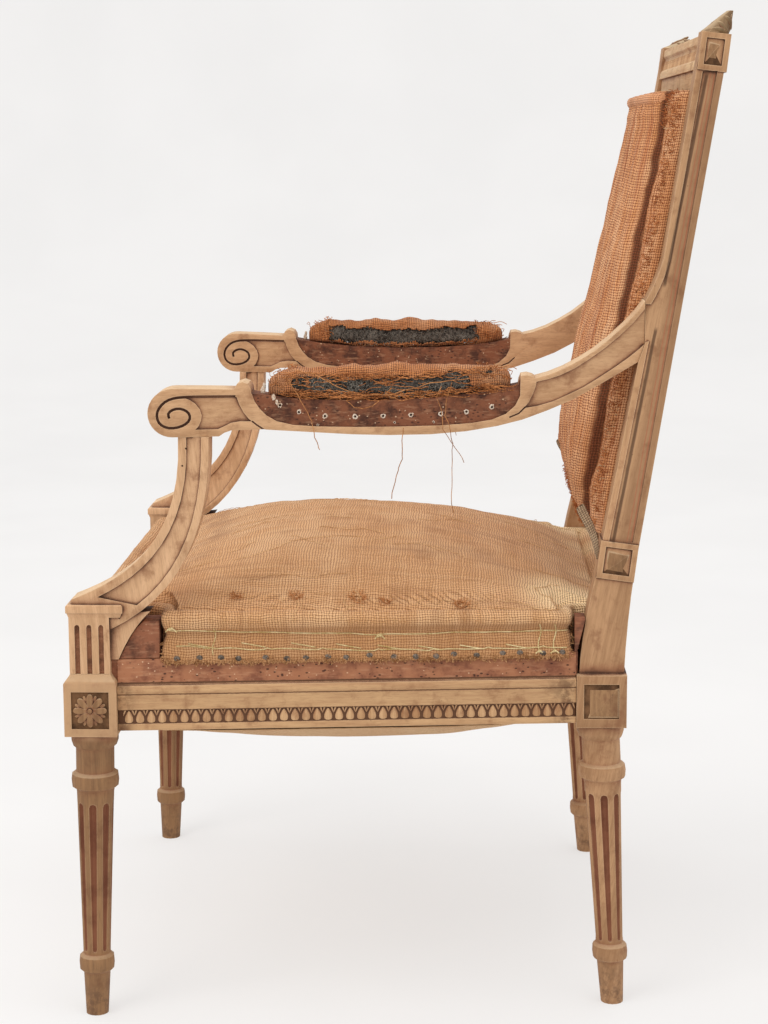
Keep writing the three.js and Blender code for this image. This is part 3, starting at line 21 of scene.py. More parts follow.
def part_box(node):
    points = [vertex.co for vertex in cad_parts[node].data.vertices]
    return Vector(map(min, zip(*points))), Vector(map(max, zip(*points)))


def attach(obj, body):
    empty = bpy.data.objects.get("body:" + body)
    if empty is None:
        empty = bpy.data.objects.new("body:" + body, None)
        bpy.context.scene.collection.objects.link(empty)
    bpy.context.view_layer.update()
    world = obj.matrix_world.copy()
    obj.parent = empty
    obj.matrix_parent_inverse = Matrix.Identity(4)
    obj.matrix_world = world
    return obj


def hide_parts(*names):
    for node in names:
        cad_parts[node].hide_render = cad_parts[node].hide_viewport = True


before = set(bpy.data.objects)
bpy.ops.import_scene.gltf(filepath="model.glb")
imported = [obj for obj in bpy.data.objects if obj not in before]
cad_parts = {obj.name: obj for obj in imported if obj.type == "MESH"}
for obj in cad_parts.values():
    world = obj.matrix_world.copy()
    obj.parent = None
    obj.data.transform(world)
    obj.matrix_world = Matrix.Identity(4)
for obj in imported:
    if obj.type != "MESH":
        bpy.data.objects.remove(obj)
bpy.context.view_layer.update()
LOG = logging.getLogger("chair")

Point = tuple[float, float, float]
Pair = tuple[float, float]
Colour = tuple[float, float, float, float]
Socket = bpy.types.NodeSocket
Piece = bpy.types.Object

MM = 0.001
TURN = 2 * math.pi
MERGE = 0.00001
BODY = "root"
FRONT_RAIL_FACE = -22.6
DEPTH_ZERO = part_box("front_rail")[0].y - FRONT_RAIL_FACE * MM
SEAT_BACK = 505
RAIL_HALF = 305
RAIL_TAPER = 0.0842
POST_AXIS = 290
BACK_LEG_AXIS = 247.5
STILE_LEAN = 0.19
ARM_TAPER = 0.168
CLOTH = "weave"
UP = Vector((0, 0, 1))
DOWN = Vector((0, 0, -1))
BACKWARD = Vector((0, 1, 0))


class Grain(Enum):
    """The way that a timber's grain runs."""

    ACROSS = "x"
    ALONG = "y"
    UPRIGHT = "z"


class Side(Enum):
    """A side of the chair, as the sitter has it, with the sign of its x."""

    LEFT = 1
    RIGHT = -1

    @property
    def word(self) -> str:
        """The side's name, as the nodes of the part end."""
        return self.name.lower()


def place(x: float, d: float, z: float) -> Vector:
    """Turns a place in the side frame, in millimetres, into metres in the part's frame."""
    return Vector((x * MM, d * MM + DEPTH_ZERO, z * MM))


def depth_of(at: Vector) -> float:
    """The depth d of a place that is given in metres."""
    return (at.y - DEPTH_ZERO) / MM


def rail_half(d: float) -> float:
    """Half the width over the side rails at a depth."""
    return RAIL_HALF - RAIL_TAPER * d


def stile_axis(z: float) -> float:
    """How far the axis of a back stile stands from the middle at a height."""
    return BACK_LEG_AXIS - 0.0563 * (z - 349)


def arm_axis(d: float) -> float:
    """How far the middle of an arm stands from the middle of the chair at a depth."""
    return 303.5 - ARM_TAPER * (d - 87.9)


def ripple(x: float, y: float, z: float) -> float:
    """A smooth random value between -1 and 1 that is always the same at a place."""
    return noise.noise(Vector((x, y, z)))


def rgb(code: str) -> Colour:
    """Turns a colour written as six hex digits, as a screen shows it, into linear light.

    Args:
        code: the six digits.

    Returns:
        The colour with its alpha of 1.
    """
    parts = [int(code[i:i + 2], 16) / 255 for i in (0, 2, 4)]
    linear = [p / 12.92 if p <= 0.04045 else ((p + 0.055) / 1.055) ** 2.4 for p in parts]
    return (linear[0], linear[1], linear[2], 1.0)


def mixed(one: str, other: str, share: float) -> Colour:
    """The colour a share of the way from one hex code to another, in linear light."""
    return tuple(p + (q - p) * share for p, q in zip(rgb(one), rgb(other)))


def lerp(a: float, b: float, share: float) -> float:
    """The value a share of the way from a to b."""
    return a + (b - a) * share


def along_table(table: Sequence[Pair], at: float) -> float:
    """Reads a table of (place, value) pairs, in rising order of place, with straight steps.

    Args:
        table: the pairs.
        at: the place to read.

    Returns:
        The value there, or that of the nearer end.
    """
    if at <= table[0][0]:
        return table[0][1]
    for (a, low), (b, high) in zip(table, table[1:]):
        if at <= b:
            return lerp(low, high, (at - a) / (b - a))
    return table[-1][1]


def smooth(edge_low: float, edge_high: float, value: float) -> float:
    """Rises softly from 0 to 1 as the value goes from the low edge to the high one."""
    share = min(1.0, max(0.0, (value - edge_low) / (edge_high - edge_low)))
    return share * share * (3 - 2 * share)


# Finishes


class Paint:
    """The nodes of one material, with short calls for those that the finishes share."""

    def __init__(self, name: str) -> None:
        """Starts an empty material.

        Args:
            name: the name of the material.
        """
        self.material = bpy.data.materials.new(name)
        self.material.use_nodes = True
        self.tree = self.material.node_tree
        self.tree.nodes.clear()
        self.here = self.add("TexCoord").outputs["Object"]

    def add(self, kind: str, values: dict | None = None, **settings: object) -> bpy.types.Node:
        """Adds a node.

        Args:
            kind: the node's type name without its ShaderNode start.
            values: socket name or number to a value or to another node's output.
            settings: the node's own settings.

        Returns:
            The new node.
        """
        node = self.tree.nodes.new("ShaderNode" + kind)
        for key, value in settings.items():
            setattr(node, key, value)
        for key, value in (values or {}).items():
            if isinstance(value, Socket):
                self.tree.links.new(value, node.inputs[key])
            else:
                node.inputs[key].default_value = value
        return node

    def calc(self, way: str, a: object, b: object = 0.0, c: object = 0.0) -> Socket:
        """A Math node's output."""
        return self.add("Math", {0: a, 1: b, 2: c}, operation=way).outputs[0]

    def times(self, a: object, b: object) -> Socket:
        """a times b."""
        return self.calc("MULTIPLY", a, b)

    def plus(self, a: object, b: object) -> Socket:
        """a plus b."""
        return self.calc("ADD", a, b)

    def minus(self, a: object, b: object) -> Socket:
        """a minus b."""
        return self.calc("SUBTRACT", a, b)

    def scaled(self, value: object, by: object, plus: object) -> Socket:
        """The value scaled, with another one added."""
        return self.calc("MULTIPLY_ADD", value, by, plus)

    def vector(self, way: str, a: object, b: object) -> Socket:
        """A Vector Math node's output; b is a plain number for a SCALE."""
        node = self.add("VectorMath", {0: a, 3 if way == "SCALE" else 1: b}, operation=way)
        return node.outputs["Value" if way in ("DISTANCE", "DOT_PRODUCT") else "Vector"]

    def mix(self, share: object, a: object, b: object) -> Socket:
        """A colour Mix node's output."""
        return self.add("Mix", {0: share, 6: a, 7: b}, data_type="RGBA").outputs[2]

    def over(self, colour: object, share: object, tone: str, strength: object = None) -> Socket:
        """The colour with a share of a tone, given as six hex digits, laid over it.

        Args:
            colour: what lies below.
            share: where the tone lies.
            tone: the six digits.
            strength: the most that it covers.

        Returns:
            The new colour.
        """
        if strength is not None:
            share = self.times(share, strength)
        return self.mix(share, colour, rgb(tone))

    def band(self, value: object, low: float, high: float, invert: bool = False) -> Socket:
        """A soft step of the value from low to high, or down it if inverted.

        Args:
            value: what to read.
            low: where the step starts.
            high: where it ends.
            invert: whether it falls.

        Returns:
            The step, 0 to 1.
        """
        ends = (1.0, 0.0) if invert else (0.0, 1.0)
        return self.add("MapRange", {0: value, 1: low, 2: high, 3: ends[0], 4: ends[1]},
                        interpolation_type="SMOOTHSTEP").outputs[0]

    def slab(self, value: object, rise: Pair, fall: Pair) -> Socket:
        """1 between a soft rise and a soft fall of the value, and 0 outside them."""
        return self.times(self.band(value, *rise), self.band(value, *fall, True))

    def mapped(self, vector: object, scale: Point = (1, 1, 1), turn: Point = (0, 0, 0),
               shift: Point = (0, 0, 0)) -> Socket:
        """The vector scaled, turned and shifted."""
        return self.add("Mapping", {"Vector": vector, "Scale": scale, "Rotation": turn,
                                    "Location": shift}).outputs[0]

    def noise(self, vector: object, scale: float, detail: float = 3.0, rough: float = 0.55) -> Socket:
        """A noise's value."""
        return self.add("TexNoise", {"Vector": vector, "Scale": scale, "Detail": detail,
                                     "Roughness": rough}).outputs[0]

    def dots(self, vector: object, scale: float, core: float, rim: float) -> Socket:
        """Scattered dots: 1 within the core and 0 past the rim, as shares of their spacing."""
        cells = self.add("TexVoronoi", {"Vector": vector, "Scale": scale})
        return self.band(cells.outputs["Distance"], core, rim, True)

    def openness(self, reach: float, samples: int) -> Socket:
        """How open the surface is within a reach in metres, 0 deep in a crevice."""
        return self.add("AmbientOcclusion", {"Distance": reach}, samples=samples,
                        only_local=True).outputs["AO"]

    def parts(self, vector: object) -> list[Socket]:
        """The x, y and z of a vector."""
        return list(self.add("SeparateXYZ", {0: vector}).outputs)

    def bump(self, height: object, strength: float, depth: float) -> Socket:
        """A bumped normal."""
        return self.add("Bump", {"Height": height, "Strength": strength,
                                 "Distance": depth}).outputs[0]

    def finish(self, colour: object, roughness: object, normal: Socket | None = None,
               metallic: float = 0.0, sheen: float = 0.0, specular: float = 0.3) -> bpy.types.Material:
        """Closes the material with its shader.

        Args:
            colour: base colour, as a value or an output.
            roughness: as a value or an output.
            normal: a bumped normal.
            metallic: 1 for bare metal.
            sheen: weight of the cloth's sheen.
            specular: strength of the gloss.

        Returns:
            The finished material.
        """
        values: dict = {"Base Color": colour, "Roughness": roughness, "Metallic": metallic,
                        "Sheen Weight": sheen, "Specular IOR Level": specular}
        if sheen:
            values["Sheen Roughness"] = 0.6
        if normal is not None:
            values["Normal"] = normal
        self.add("OutputMaterial", {0: self.add("BsdfPrincipled", values).outputs[0]})
        return self.material


@dataclass(frozen=True)
class Flutes:
    """The stained flutes of one leg: where its axis stands and how it tapers, in millimetres."""

    axis_x: float
    axis_d: float
    rake: float
    stain: str = "7c4830"


@dataclass(frozen=True)
class StainedZone:
    """A band of height in a darker tone: the old red-brown stain with its tack holes, or a dark carved line.
    """

    low: float
    high: float


@dataclass(frozen=True)
class Stripe:
    """A line of its own tone that runs up a timber beside its leaning edge, in millimetres.

    The edge stands at d = floor + slope * z, and the stripe lies from first to last behind it.
    """

    floor: float
    slope: float
    first: float
    last: float
    low: float
    high: float
    tone: str
    strength: float = 0.8


@dataclass(frozen=True)
class Beech:
    """Stripped beech: pale and streaky, with old stain and grime left in the hollows and painted shade over
    them, and painted highlights on its edges and tops.
    """

    name: str
    grain: Grain
    tilt: float = 0.0
    pale: str = "caa078"
    mid: str = "b08660"
    deep: str = "8c6444"
    # The two colours of the hollows: the dark one is grime and painted shade, red is old stain and painted
    # shade round the mouldings.
    grime: str = "422a1e"
    red: str = "8f5a3e"
    dirt: float = 1.0
    flutes: Flutes | None = None
    zone: StainedZone | None = None
    carved: tuple[StainedZone, ...] = ()
    stripes: tuple[Stripe, ...] = ()
    low_dark: bool = False
    pale_above: float | None = None
    dark_ends: Pair | None = None

    def material(self) -> bpy.types.Material:
        """Builds the material: its grain, its worn edges with painted highlights, paler tops as painted light
        from above, the old stain, grime and painted shade in its hollows, and its stains.
        """
        p = Paint(self.name)
        patch = p.noise(p.here, 42, 5, 0.65)
        colour, fine = self.grained(p, patch)
        colour = self.dirtied_and_shaded(p, self.worn(p, colour, patch), patch)
        if self.low_dark:
            height = p.parts(p.here)[2]
            foot = p.times(p.band(p.scaled(patch, 0.09, height), 0.055, 0.1, True), 0.6)
            colour = p.over(colour, foot, "5b4030", p.band(p.noise(p.here, 95, 4, 0.7), 0.42, 0.62))
        if self.dark_ends:
            first, last = (DEPTH_ZERO + end * MM for end in self.dark_ends)
            y = p.parts(p.here)[1]
            near = p.plus(p.band(y, first, first + 0.022, True), p.band(y, last - 0.04, last))
            blot = p.band(p.noise(p.here, 70, 4, 0.7), 0.38, 0.6)
            colour = p.over(colour, p.times(near, blot), "5a3c27", 0.75)
        if self.flutes:
            colour = self.stained_flutes(p, colour, patch)
        if self.zone:
            colour = self.stained_zone(p, colour, self.zone, tacked_wood(p))
        for zone in self.carved:
            colour = self.stained_zone(p, colour, zone, rgb("5d3d28"))
        for stripe in self.stripes:
            colour = self.striped(p, colour, stripe, patch)
        few = p.band(p.noise(p.here, 24, 2), 0.6, 0.66)
        colour = p.over(colour, p.times(p.dots(p.here, 95, 0.03, 0.06), few), "3a2518", 0.8)
        relief = p.plus(p.times(fine, 0.6), p.times(patch, 0.8))
        return p.finish(colour, p.scaled(patch, 0.25, 0.6), p.bump(relief, 0.35, 0.0005))

    def grained(self, p: Paint, patch: Socket) -> tuple[Socket, Socket]:
        """The colour of the bare grain, and the fine part of the grain for the bump.

        Args:
            p: the paint to use.
            patch: broad spots of noise.

        Returns:
            The colour and the fine grain.
        """
        turn = {Grain.ACROSS: (0, math.pi / 2, 0), Grain.ALONG: (math.pi / 2, 0, 0),
                Grain.UPRIGHT: (self.tilt, 0, 0)}[self.grain]
        grain = p.mapped(p.here, (1, 1, 1), turn)
        long = p.mapped(grain, (1, 1, 0.045))
        broad = p.noise(p.mapped(grain, (1.6, 1.6, 0.3)), 13, 4, 0.6)
        streak, fine = p.noise(long, 260, 4, 0.6), p.noise(long, 1100, 3, 0.6)
        tone = p.plus(p.times(streak, 0.38), p.times(broad, 0.62))
        colour = p.mix(p.band(tone, 0.36, 0.62), rgb(self.mid), rgb(self.pale))
        colour = p.over(colour, p.band(patch, 0.5, 0.74), self.deep, 0.6)
        colour = p.over(colour, p.band(fine, 0.48, 0.72), self.deep, 0.34)
        if self.pale_above:
            ends = self.pale_above * MM, (self.pale_above + 8) * MM
            colour = p.over(colour, p.times(p.band(p.parts(p.here)[2], *ends), 0.6), "cfa67d")
        return colour, fine

    def worn(self, p: Paint, colour: Socket, patch: Socket) -> Socket:
        """Pales the edges, partly as wear and partly as a painted highlight, and pales what faces up as
        painted light from above.

        Args:
            p: the paint to use.
            colour: the colour so far.
            patch: broad spots of noise.

        Returns:
            The new colour.
        """
        facing = p.add("NewGeometry").outputs["Normal"]
        rounded = p.add("Bevel", {"Radius": 0.0018}, samples=4)
        # Paler along rounded edges: partly wear, partly a painted highlight.
        edge = p.band(p.vector("DOT_PRODUCT", rounded.outputs[0], facing), 0.82, 0.99, True)
        colour = p.over(colour, edge, "dcbc96", 0.5)
        # Paler on what faces up: painted light from above.
        upward = p.parts(facing)[2]
        return p.over(colour, p.band(p.scaled(patch, 0.5, upward), 0.75, 1.1), "e0c7a2", 0.45)

    def dirtied_and_shaded(self, p: Paint, colour: Socket, patch: Socket) -> Socket:
        """Reddens and then darkens the hollows that occlusion finds: old stain and grime there, with painted
        shade.

        Args:
            p: the paint to use.
            colour: the colour so far.
            patch: broad spots of noise.

        Returns:
            The new colour.
        """
        # Occlusion finds the hollows: the red-brown is old stain with painted shade round the mouldings, the
        # dark is grime with painted shade.
        uneven = p.scaled(patch, 0.5, p.minus(1.0, p.openness(0.013, 8)))
        colour = p.over(colour, p.band(uneven, 0.25, 0.48), self.red, 0.7 * self.dirt)
        return p.over(colour, p.band(uneven, 0.42, 0.68), self.grime, 0.92 * self.dirt)

    def stained_flutes(self, p: Paint, colour: Socket, patch: Socket) -> Socket:
        """Mixes the dark stain into whatever lies deeper than the leg's tapered skin.

        Args:
            p: the paint to use.
            colour: the colour so far.
            patch: broad spots of noise.

        Returns:
            The new colour.
        """
        flutes = self.flutes
        centre = place(flutes.axis_x, flutes.axis_d + flutes.rake, 0)
        x, y, z = p.parts(p.here)
        off_x = p.minus(x, centre.x)
        off_y = p.minus(y, p.scaled(z, -flutes.rake / 295.5, centre.y))
        radius = p.calc("SQRT", p.plus(p.times(off_x, off_x), p.times(off_y, off_y)))
        skin = p.scaled(p.minus(z, 0.064), 0.029, 0.0139)
        inside = p.band(p.scaled(patch, 0.0006, p.minus(skin, radius)), 0.0008, 0.0016)
        share = p.times(inside, p.slab(z, (0.066, 0.07), (0.226, 0.23)))
        tone = p.mix(p.band(patch, 0.4, 0.7), rgb(flutes.stain), rgb("6a3b26"))
        return p.mix(p.times(share, 0.88), colour, tone)

    def striped(self, p: Paint, colour: Socket, stripe: Stripe, patch: Socket) -> Socket:
        """Mixes a line of its own tone into the outer face of a leaning timber.

        Args:
            p: the paint to use.
            colour: the colour so far.
            stripe: the line and its tone.
            patch: broad spots of noise.

        Returns:
            The new colour.
        """
        _, y, z = p.parts(p.here)
        line = p.scaled(z, stripe.slope, DEPTH_ZERO + stripe.floor * MM)
        behind = p.scaled(patch, 0.0012, p.minus(y, line))
        first, last = stripe.first * MM + 0.0006, stripe.last * MM + 0.0006
        soft = 0.3 * (last - first)
        inside = p.slab(behind, (first, first + soft), (last - soft, last))
        tall = p.slab(z, (stripe.low * MM, (stripe.low + 6) * MM),
                      ((stripe.high - 6) * MM, stripe.high * MM))
        return p.over(colour, p.times(inside, tall), stripe.tone, stripe.strength)

    def stained_zone(self, p: Paint, colour: Socket, zone: StainedZone, tone: object) -> Socket:
        """Mixes a darker tone into a band of height.

        Args:
            p: the paint to use.
            colour: the colour so far.
            zone: the band.
            tone: the colour of the stain.

        Returns:
            The new colour.
        """
        ragged = p.scaled(p.noise(p.here, 300, 3), 0.001, p.parts(p.here)[2])
        inside = p.slab(ragged, (zone.low * MM, (zone.low + 1.0) * MM),
                        (zone.high * MM, (zone.high + 1.0) * MM))
        return p.mix(inside, colour, tone)


def tacked_wood(p: Paint, light: str = "a36c4c", dark: str = "7e4c36", holes: float = 0.9) -> Socket:
    """The colour of wood under the old tacks: red-brown, dark in patches and full of holes.

    Args:
        p: the paint to use.
        light: the tone of the bare wood.
        dark: the tone of the patches.
        holes: how strongly the holes show, 0 to 1.

    Returns:
        The colour.
    """
    tone = p.mix(p.band(p.noise(p.here, 55, 4, 0.65), 0.4, 0.66), rgb(light), rgb(dark))
    streak = p.band(p.noise(p.mapped(p.here, (1, 0.12, 1)), 420, 3), 0.5, 0.72)
    tone = p.mix(p.times(streak, 0.5), tone, mixed(light, "e0b48c", 0.3))
    crowd = p.band(p.noise(p.here, 90, 2), 0.47, 0.53)
    # Dark dots stand for the tack holes, which the mesh lacks: painted shade in them.
    hole = p.dots(p.mapped(p.here, (1, 0.55, 1.0)), 300, 0.2, 0.3)
    tone = p.over(tone, hole, "3b2017", p.times(crowd, holes))
    lit = p.band(p.noise(p.mapped(p.here, shift=(9, 4, 1)), 80, 2), 0.52, 0.58)
    fleck = p.dots(p.mapped(p.here, (1, 0.8, 1), shift=(5, 2, 1)), 260, 0.12, 0.2)
    return p.over(tone, fleck, "e2c09c", p.times(lit, 0.85 * holes))


@dataclass(frozen=True)
class TackedWood:
    """Rough wood under the tacks, red-brown and full of holes."""

    name: str
    light: str
    dark: str
    holes: float

    def material(self) -> bpy.types.Material:
        """Builds the material."""
        p = Paint(self.name)
        colour = tacked_wood(p, self.light, self.dark, self.holes)
        # Painted shade in the hollows that occlusion finds.
        colour = p.over(colour, p.band(p.openness(0.006, 8), 0.3, 0.7, True), "3a2318")
        return p.finish(colour, 0.82, p.bump(p.noise(p.here, 500, 4, 0.7), 0.6, 0.0006))


@dataclass(frozen=True)
class Spot:
    """A patch of another colour: its place in millimetres, its reach in metres, tone and strength."""

    at: Point
    reach: float
    tone: str
    strength: float


@dataclass(frozen=True)
class Burlap:
    """Coarse plain weave: round threads over and under, dark between them, faded in patches."""

    name: str
    thread: str
    shade: str
    gap: str
    faded: str
    fade: float = 0.5
    pitch: float = 2.1
    slack: float = 0.35
    stain: str = "8a5a38"
    spots: tuple[Spot, ...] = ()
    darker_below: tuple[float, str] | None = None
    streaks: float = 0.0
    creases: tuple[float, ...] = ()

    def material(self) -> bpy.types.Material:
        """Builds the material on the piece's own weave map, which is in metres."""
        p = Paint(self.name)
        woven = p.add("UVMap", uv_map=CLOTH).outputs[0]
        height, own = self.threads(p, woven)
        colour = p.mix(p.times(own, 0.8), rgb(self.thread), rgb(self.shade))
        patch = p.noise(p.here, 18, 4, 0.6)
        colour = p.over(colour, p.band(patch, 0.42, 0.66), self.faded, self.fade)
        dirty = p.noise(p.mapped(p.here, shift=(3, 1, 2)), 11, 4, 0.6)
        colour = p.over(colour, p.band(dirty, 0.52, 0.72), self.stain, 0.5)
        for spot in self.spots:
            away = p.scaled(patch, 0.04, p.vector("DISTANCE", p.here, place(*spot.at)))
            near = p.band(away, spot.reach * 0.55, spot.reach * 1.2, True)
            colour = p.over(colour, near, spot.tone, spot.strength)
        if self.streaks:
            for scale, shift, low, high, tone in (((90, 5, 1), (0, 0, 0), 0.5, 0.68, self.faded),
                                                  ((70, 6, 1), (4, 9, 0), 0.54, 0.7, self.stain)):
                drawn = p.noise(p.mapped(woven, scale, shift=shift), 1.0, 3)
                colour = p.over(colour, p.band(drawn, low, high), tone, self.streaks)
        # Painted crease shadows: dark lines along the deep folds beside the stiles.
        for crease in self.creases:
            waver = p.scaled(p.noise(p.mapped(p.here, (1, 1, 14)), 3.0, 2), 0.012, -crease - 0.006)
            off = p.calc("ABSOLUTE", p.plus(p.parts(woven)[0], waver))
            colour = p.over(colour, p.band(off, 0.0025, 0.009, True), "4a2413", 0.92)
        # Darker below a given height.
        if self.darker_below:
            top, tone = self.darker_below
            below = p.band(p.parts(p.here)[2], (top - 3) * MM, top * MM, True)
            colour = p.over(colour, below, tone, 0.55)
        thin = p.scaled(p.noise(woven, 260, 2), 0.25, height)
        colour = p.over(colour, p.band(thin, 0.34, 0.74, True), self.gap)
        # Painted shade in the hollows that occlusion finds, in the gap colour.
        colour = p.over(colour, p.band(p.openness(0.014, 6), 0.2, 0.62, True), self.gap, 0.6)
        return p.finish(colour, 0.93, p.bump(height, 0.55, 0.0011), sheen=0.08, specular=0.15)

    def threads(self, p: Paint, woven: Socket) -> tuple[Socket, Socket]:
        """The height of the threads, which pass over and under, and each one's own shade.

        Args:
            p: the paint to use.
            woven: the place in the cloth, in metres.

        Returns:
            The height and the shade.
        """
        drift = p.add("TexNoise", {"Vector": woven, "Scale": 45.0, "Detail": 2.0})
        pull = p.vector("SUBTRACT", drift.outputs["Color"], (0.5, 0.5, 0.5))
        flat = p.vector("ADD", woven, p.vector("SCALE", pull, 0.004 * self.slack))
        u, v, _ = p.parts(p.vector("SCALE", flat, 1 / (self.pitch * MM)))
        round_u, round_v = (p.calc("SINE", p.times(p.calc("FRACT", w), math.pi)) for w in (u, v))
        column, row = p.calc("FLOOR", u), p.calc("FLOOR", v)
        parity = p.calc("PINGPONG", p.plus(column, row), 1.0)
        other = p.minus(1.0, parity)
        warp = p.times(round_u, p.scaled(round_v, 0.45, 0.55))
        weft = p.times(round_v, p.scaled(round_u, 0.45, 0.55))
        shades = [p.add("TexWhiteNoise", {"W": at}, noise_dimensions="1D").outputs[0]
                  for at in (column, p.scaled(row, 1.7, 9.0))]
        return (p.plus(p.times(warp, parity), p.times(weft, other)),
                p.plus(p.times(shades[0], parity), p.times(shades[1], other)))


@dataclass(frozen=True)
class Webbing:
    """Jute strap: a close weave with darker lines along it."""

    name: str
    thread: str = "c6a377"
    line: str = "7f6346"

    def material(self) -> bpy.types.Material:
        """Builds the material."""
        p = Paint(self.name)
        fine = p.noise(p.mapped(p.here), 900, 3, 0.7)
        colour = p.mix(p.band(fine, 0.4, 0.62), rgb(self.thread), rgb(self.line))
        colour = p.over(colour, p.band(p.noise(p.here, 25, 3), 0.45, 0.7), "9a7650", 0.45)
        weave = p.add("TexWave", {"Vector": p.here, "Scale": 420.0, "Distortion": 1.5},
                      bands_direction="DIAGONAL").outputs[1]
        colour = p.over(colour, weave, self.line, 0.35)
        return p.finish(colour, 0.92, p.bump(weave, 0.5, 0.0008), sheen=0.05, specular=0.15)


@dataclass(frozen=True)
class Plain:
    """A fibre, cloth or metal with a mottled colour and a fine bump."""

    name: str
    light: str
    dark: str
    scale: float = 300.0
    roughness: float = 0.9
    metallic: float = 0.0

    def material(self) -> bpy.types.Material:
        """Builds the material."""
        p = Paint(self.name)
        fine = p.noise(p.here, self.scale, 4, 0.6)
        broad = p.noise(p.here, self.scale / 12, 3)
        share = p.plus(p.times(fine, 0.6), p.times(broad, 0.4))
        colour = p.mix(p.band(share, 0.38, 0.62), rgb(self.dark), rgb(self.light))
        return p.finish(colour, self.roughness, p.bump(fine, 0.4, 0.0003),
                        metallic=self.metallic, specular=0.3 if self.metallic else 0.12)


# Ways of making


def linked(name: str, data: bpy.types.ID) -> Piece:
    """A new object of the scene with the given data.

    Args:
        name: the name of the object.
        data: its mesh, light or camera.

    Returns:
        The object.
    """
    piece = bpy.data.objects.new(name, data)
    bpy.context.scene.collection.objects.link(piece)
    return piece


def select_only(*pieces: Piece) -> None:
    """Leaves object mode with only these pieces selected and the first one active.

    Args:
        pieces: what to select.
    """
    if bpy.context.mode != "OBJECT":
        bpy.ops.object.mode_set(mode="OBJECT")
    bpy.ops.object.select_all(action="DESELECT")
    for piece in pieces:
        piece.select_set(True)
    bpy.context.view_layer.objects.active = pieces[0]


def active() -> Piece:
    """The active piece."""
    return bpy.context.view_layer.objects.active


@contextmanager
def editing(piece: Piece, doubles: bool = True) -> Iterator[None]:
    """Edit mode on one piece with all of it selected, its doubles merged first if wished.

    Args:
        piece: the piece to edit.
        doubles: whether to merge its doubles.
    """
    select_only(piece)
    bpy.ops.object.mode_set(mode="EDIT")
    bpy.ops.mesh.select_all(action="SELECT")
    if doubles:
        bpy.ops.mesh.remove_doubles(threshold=MERGE)
    yield
    bpy.ops.object.mode_set(mode="OBJECT")


def modified(piece: Piece, kind: str, **settings: object) -> Piece:
    """Adds a modifier to a piece, with its settings, and applies it.

    Args:
        piece: the piece to change.
        kind: the modifier's type.
        settings: its properties.

    Returns:
        The same piece.
    """
    modifier = piece.modifiers.new(kind.lower(), kind)
    for key, value in settings.items():
        setattr(modifier, key, value)
    select_only(piece)
    bpy.ops.object.modifier_apply(modifier=modifier.name)
    return piece


def thickened(piece: Piece, thickness: float, offset: float = 0) -> Piece:
    """Gives a sheet its thickness in millimetres, to both sides or, for an offset of -1, inward."""
    return modified(piece, "SOLIDIFY", thickness=thickness * MM, offset=offset)


def subdivided(piece: Piece) -> Piece:
    """Rounds a piece with a subdivision surface."""
    return modified(piece, "SUBSURF", levels=1, render_levels=1)


def smoothed(piece: Piece, degrees: float | None = None) -> Piece:
    """Shades a piece smooth, but for edges sharper than an angle if one is given.

    Args:
        piece: the piece to change.
        degrees: the angle, or None for none.

    Returns:
        The same piece.
    """
    select_only(piece)
    if degrees is None:
        bpy.ops.object.shade_smooth()
    else:
        bpy.ops.object.shade_smooth_by_angle(angle=math.radians(degrees))
    return piece


def outward(piece: Piece) -> Piece:
    """Merges doubles and turns every face out.

    Args:
        piece: the piece to change.

    Returns:
        The same piece.
    """
    with editing(piece):
        bpy.ops.mesh.normals_make_consistent(inside=False)
    return piece


def capped(piece: Piece) -> Piece:
    """Fills the open ends of a piece.

    Args:
        piece: the piece to change.

    Returns:
        The same piece.
    """
    with editing(piece, doubles=False):
        bpy.ops.mesh.select_all(action="DESELECT")
        bpy.ops.mesh.select_mode(type="EDGE")
        bpy.ops.mesh.select_non_manifold()
        bpy.ops.mesh.edge_face_add()
        bpy.ops.mesh.select_all(action="SELECT")
        bpy.ops.mesh.normals_make_consistent(inside=False)
    return piece


def joined(name: str, pieces: Sequence[Piece]) -> Piece:
    """Joins pieces into the first one and names it.

    Args:
        name: the name of the whole.
        pieces: what to join.

    Returns:
        The whole.
    """
    select_only(*pieces)
    if len(pieces) > 1:
        bpy.ops.object.join()
    whole = active()
    whole.name = whole.data.name = name
    return whole


def mirrored(data: bpy.types.Mesh) -> bpy.types.Mesh:
    """Mirrors a mesh to the other side of the chair.

    Args:
        data: the mesh to change.

    Returns:
        The same mesh.
    """
    data.transform(Matrix.Scale(-1, 4, (1, 0, 0)))
    data.flip_normals()
    return data


def copies(name: str, master: Piece, spots: Iterable[Matrix]) -> Piece:
    """Copies a master to each of the given places and joins the copies into one piece.

    Args:
        name: the name of the whole.
        master: what to copy, used up by this.
        spots: the place of each copy.

    Returns:
        The whole.
    """
    made = []
    for spot in spots:
        made.append(linked(name, master.data.copy()))
        made[-1].data.transform(spot)
    bpy.data.objects.remove(master)
    return joined(name, made)


def dressed(piece: Piece, material: bpy.types.Material) -> Piece:
    """Gives a piece one material in place of any others.

    Args:
        piece: the piece to dress.
        material: its finish.

    Returns:
        The same piece.
    """
    piece.data.materials.clear()
    piece.data.materials.append(material)
    return piece


def ride(piece: Piece, slot: str, *replaced: str) -> Piece:
    """Fixes a finished piece to the chair and hides the nodes that it stands for.

    Args:
        piece: the finished piece.
        slot: its material slot; not used.
        replaced: the nodes it stands for.

    Returns:
        The same piece.
    """
    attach(piece, BODY)
    if replaced:
        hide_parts(*replaced)
    LOG.info("%s: %d faces", piece.name, len(piece.data.polygons))
    return piece


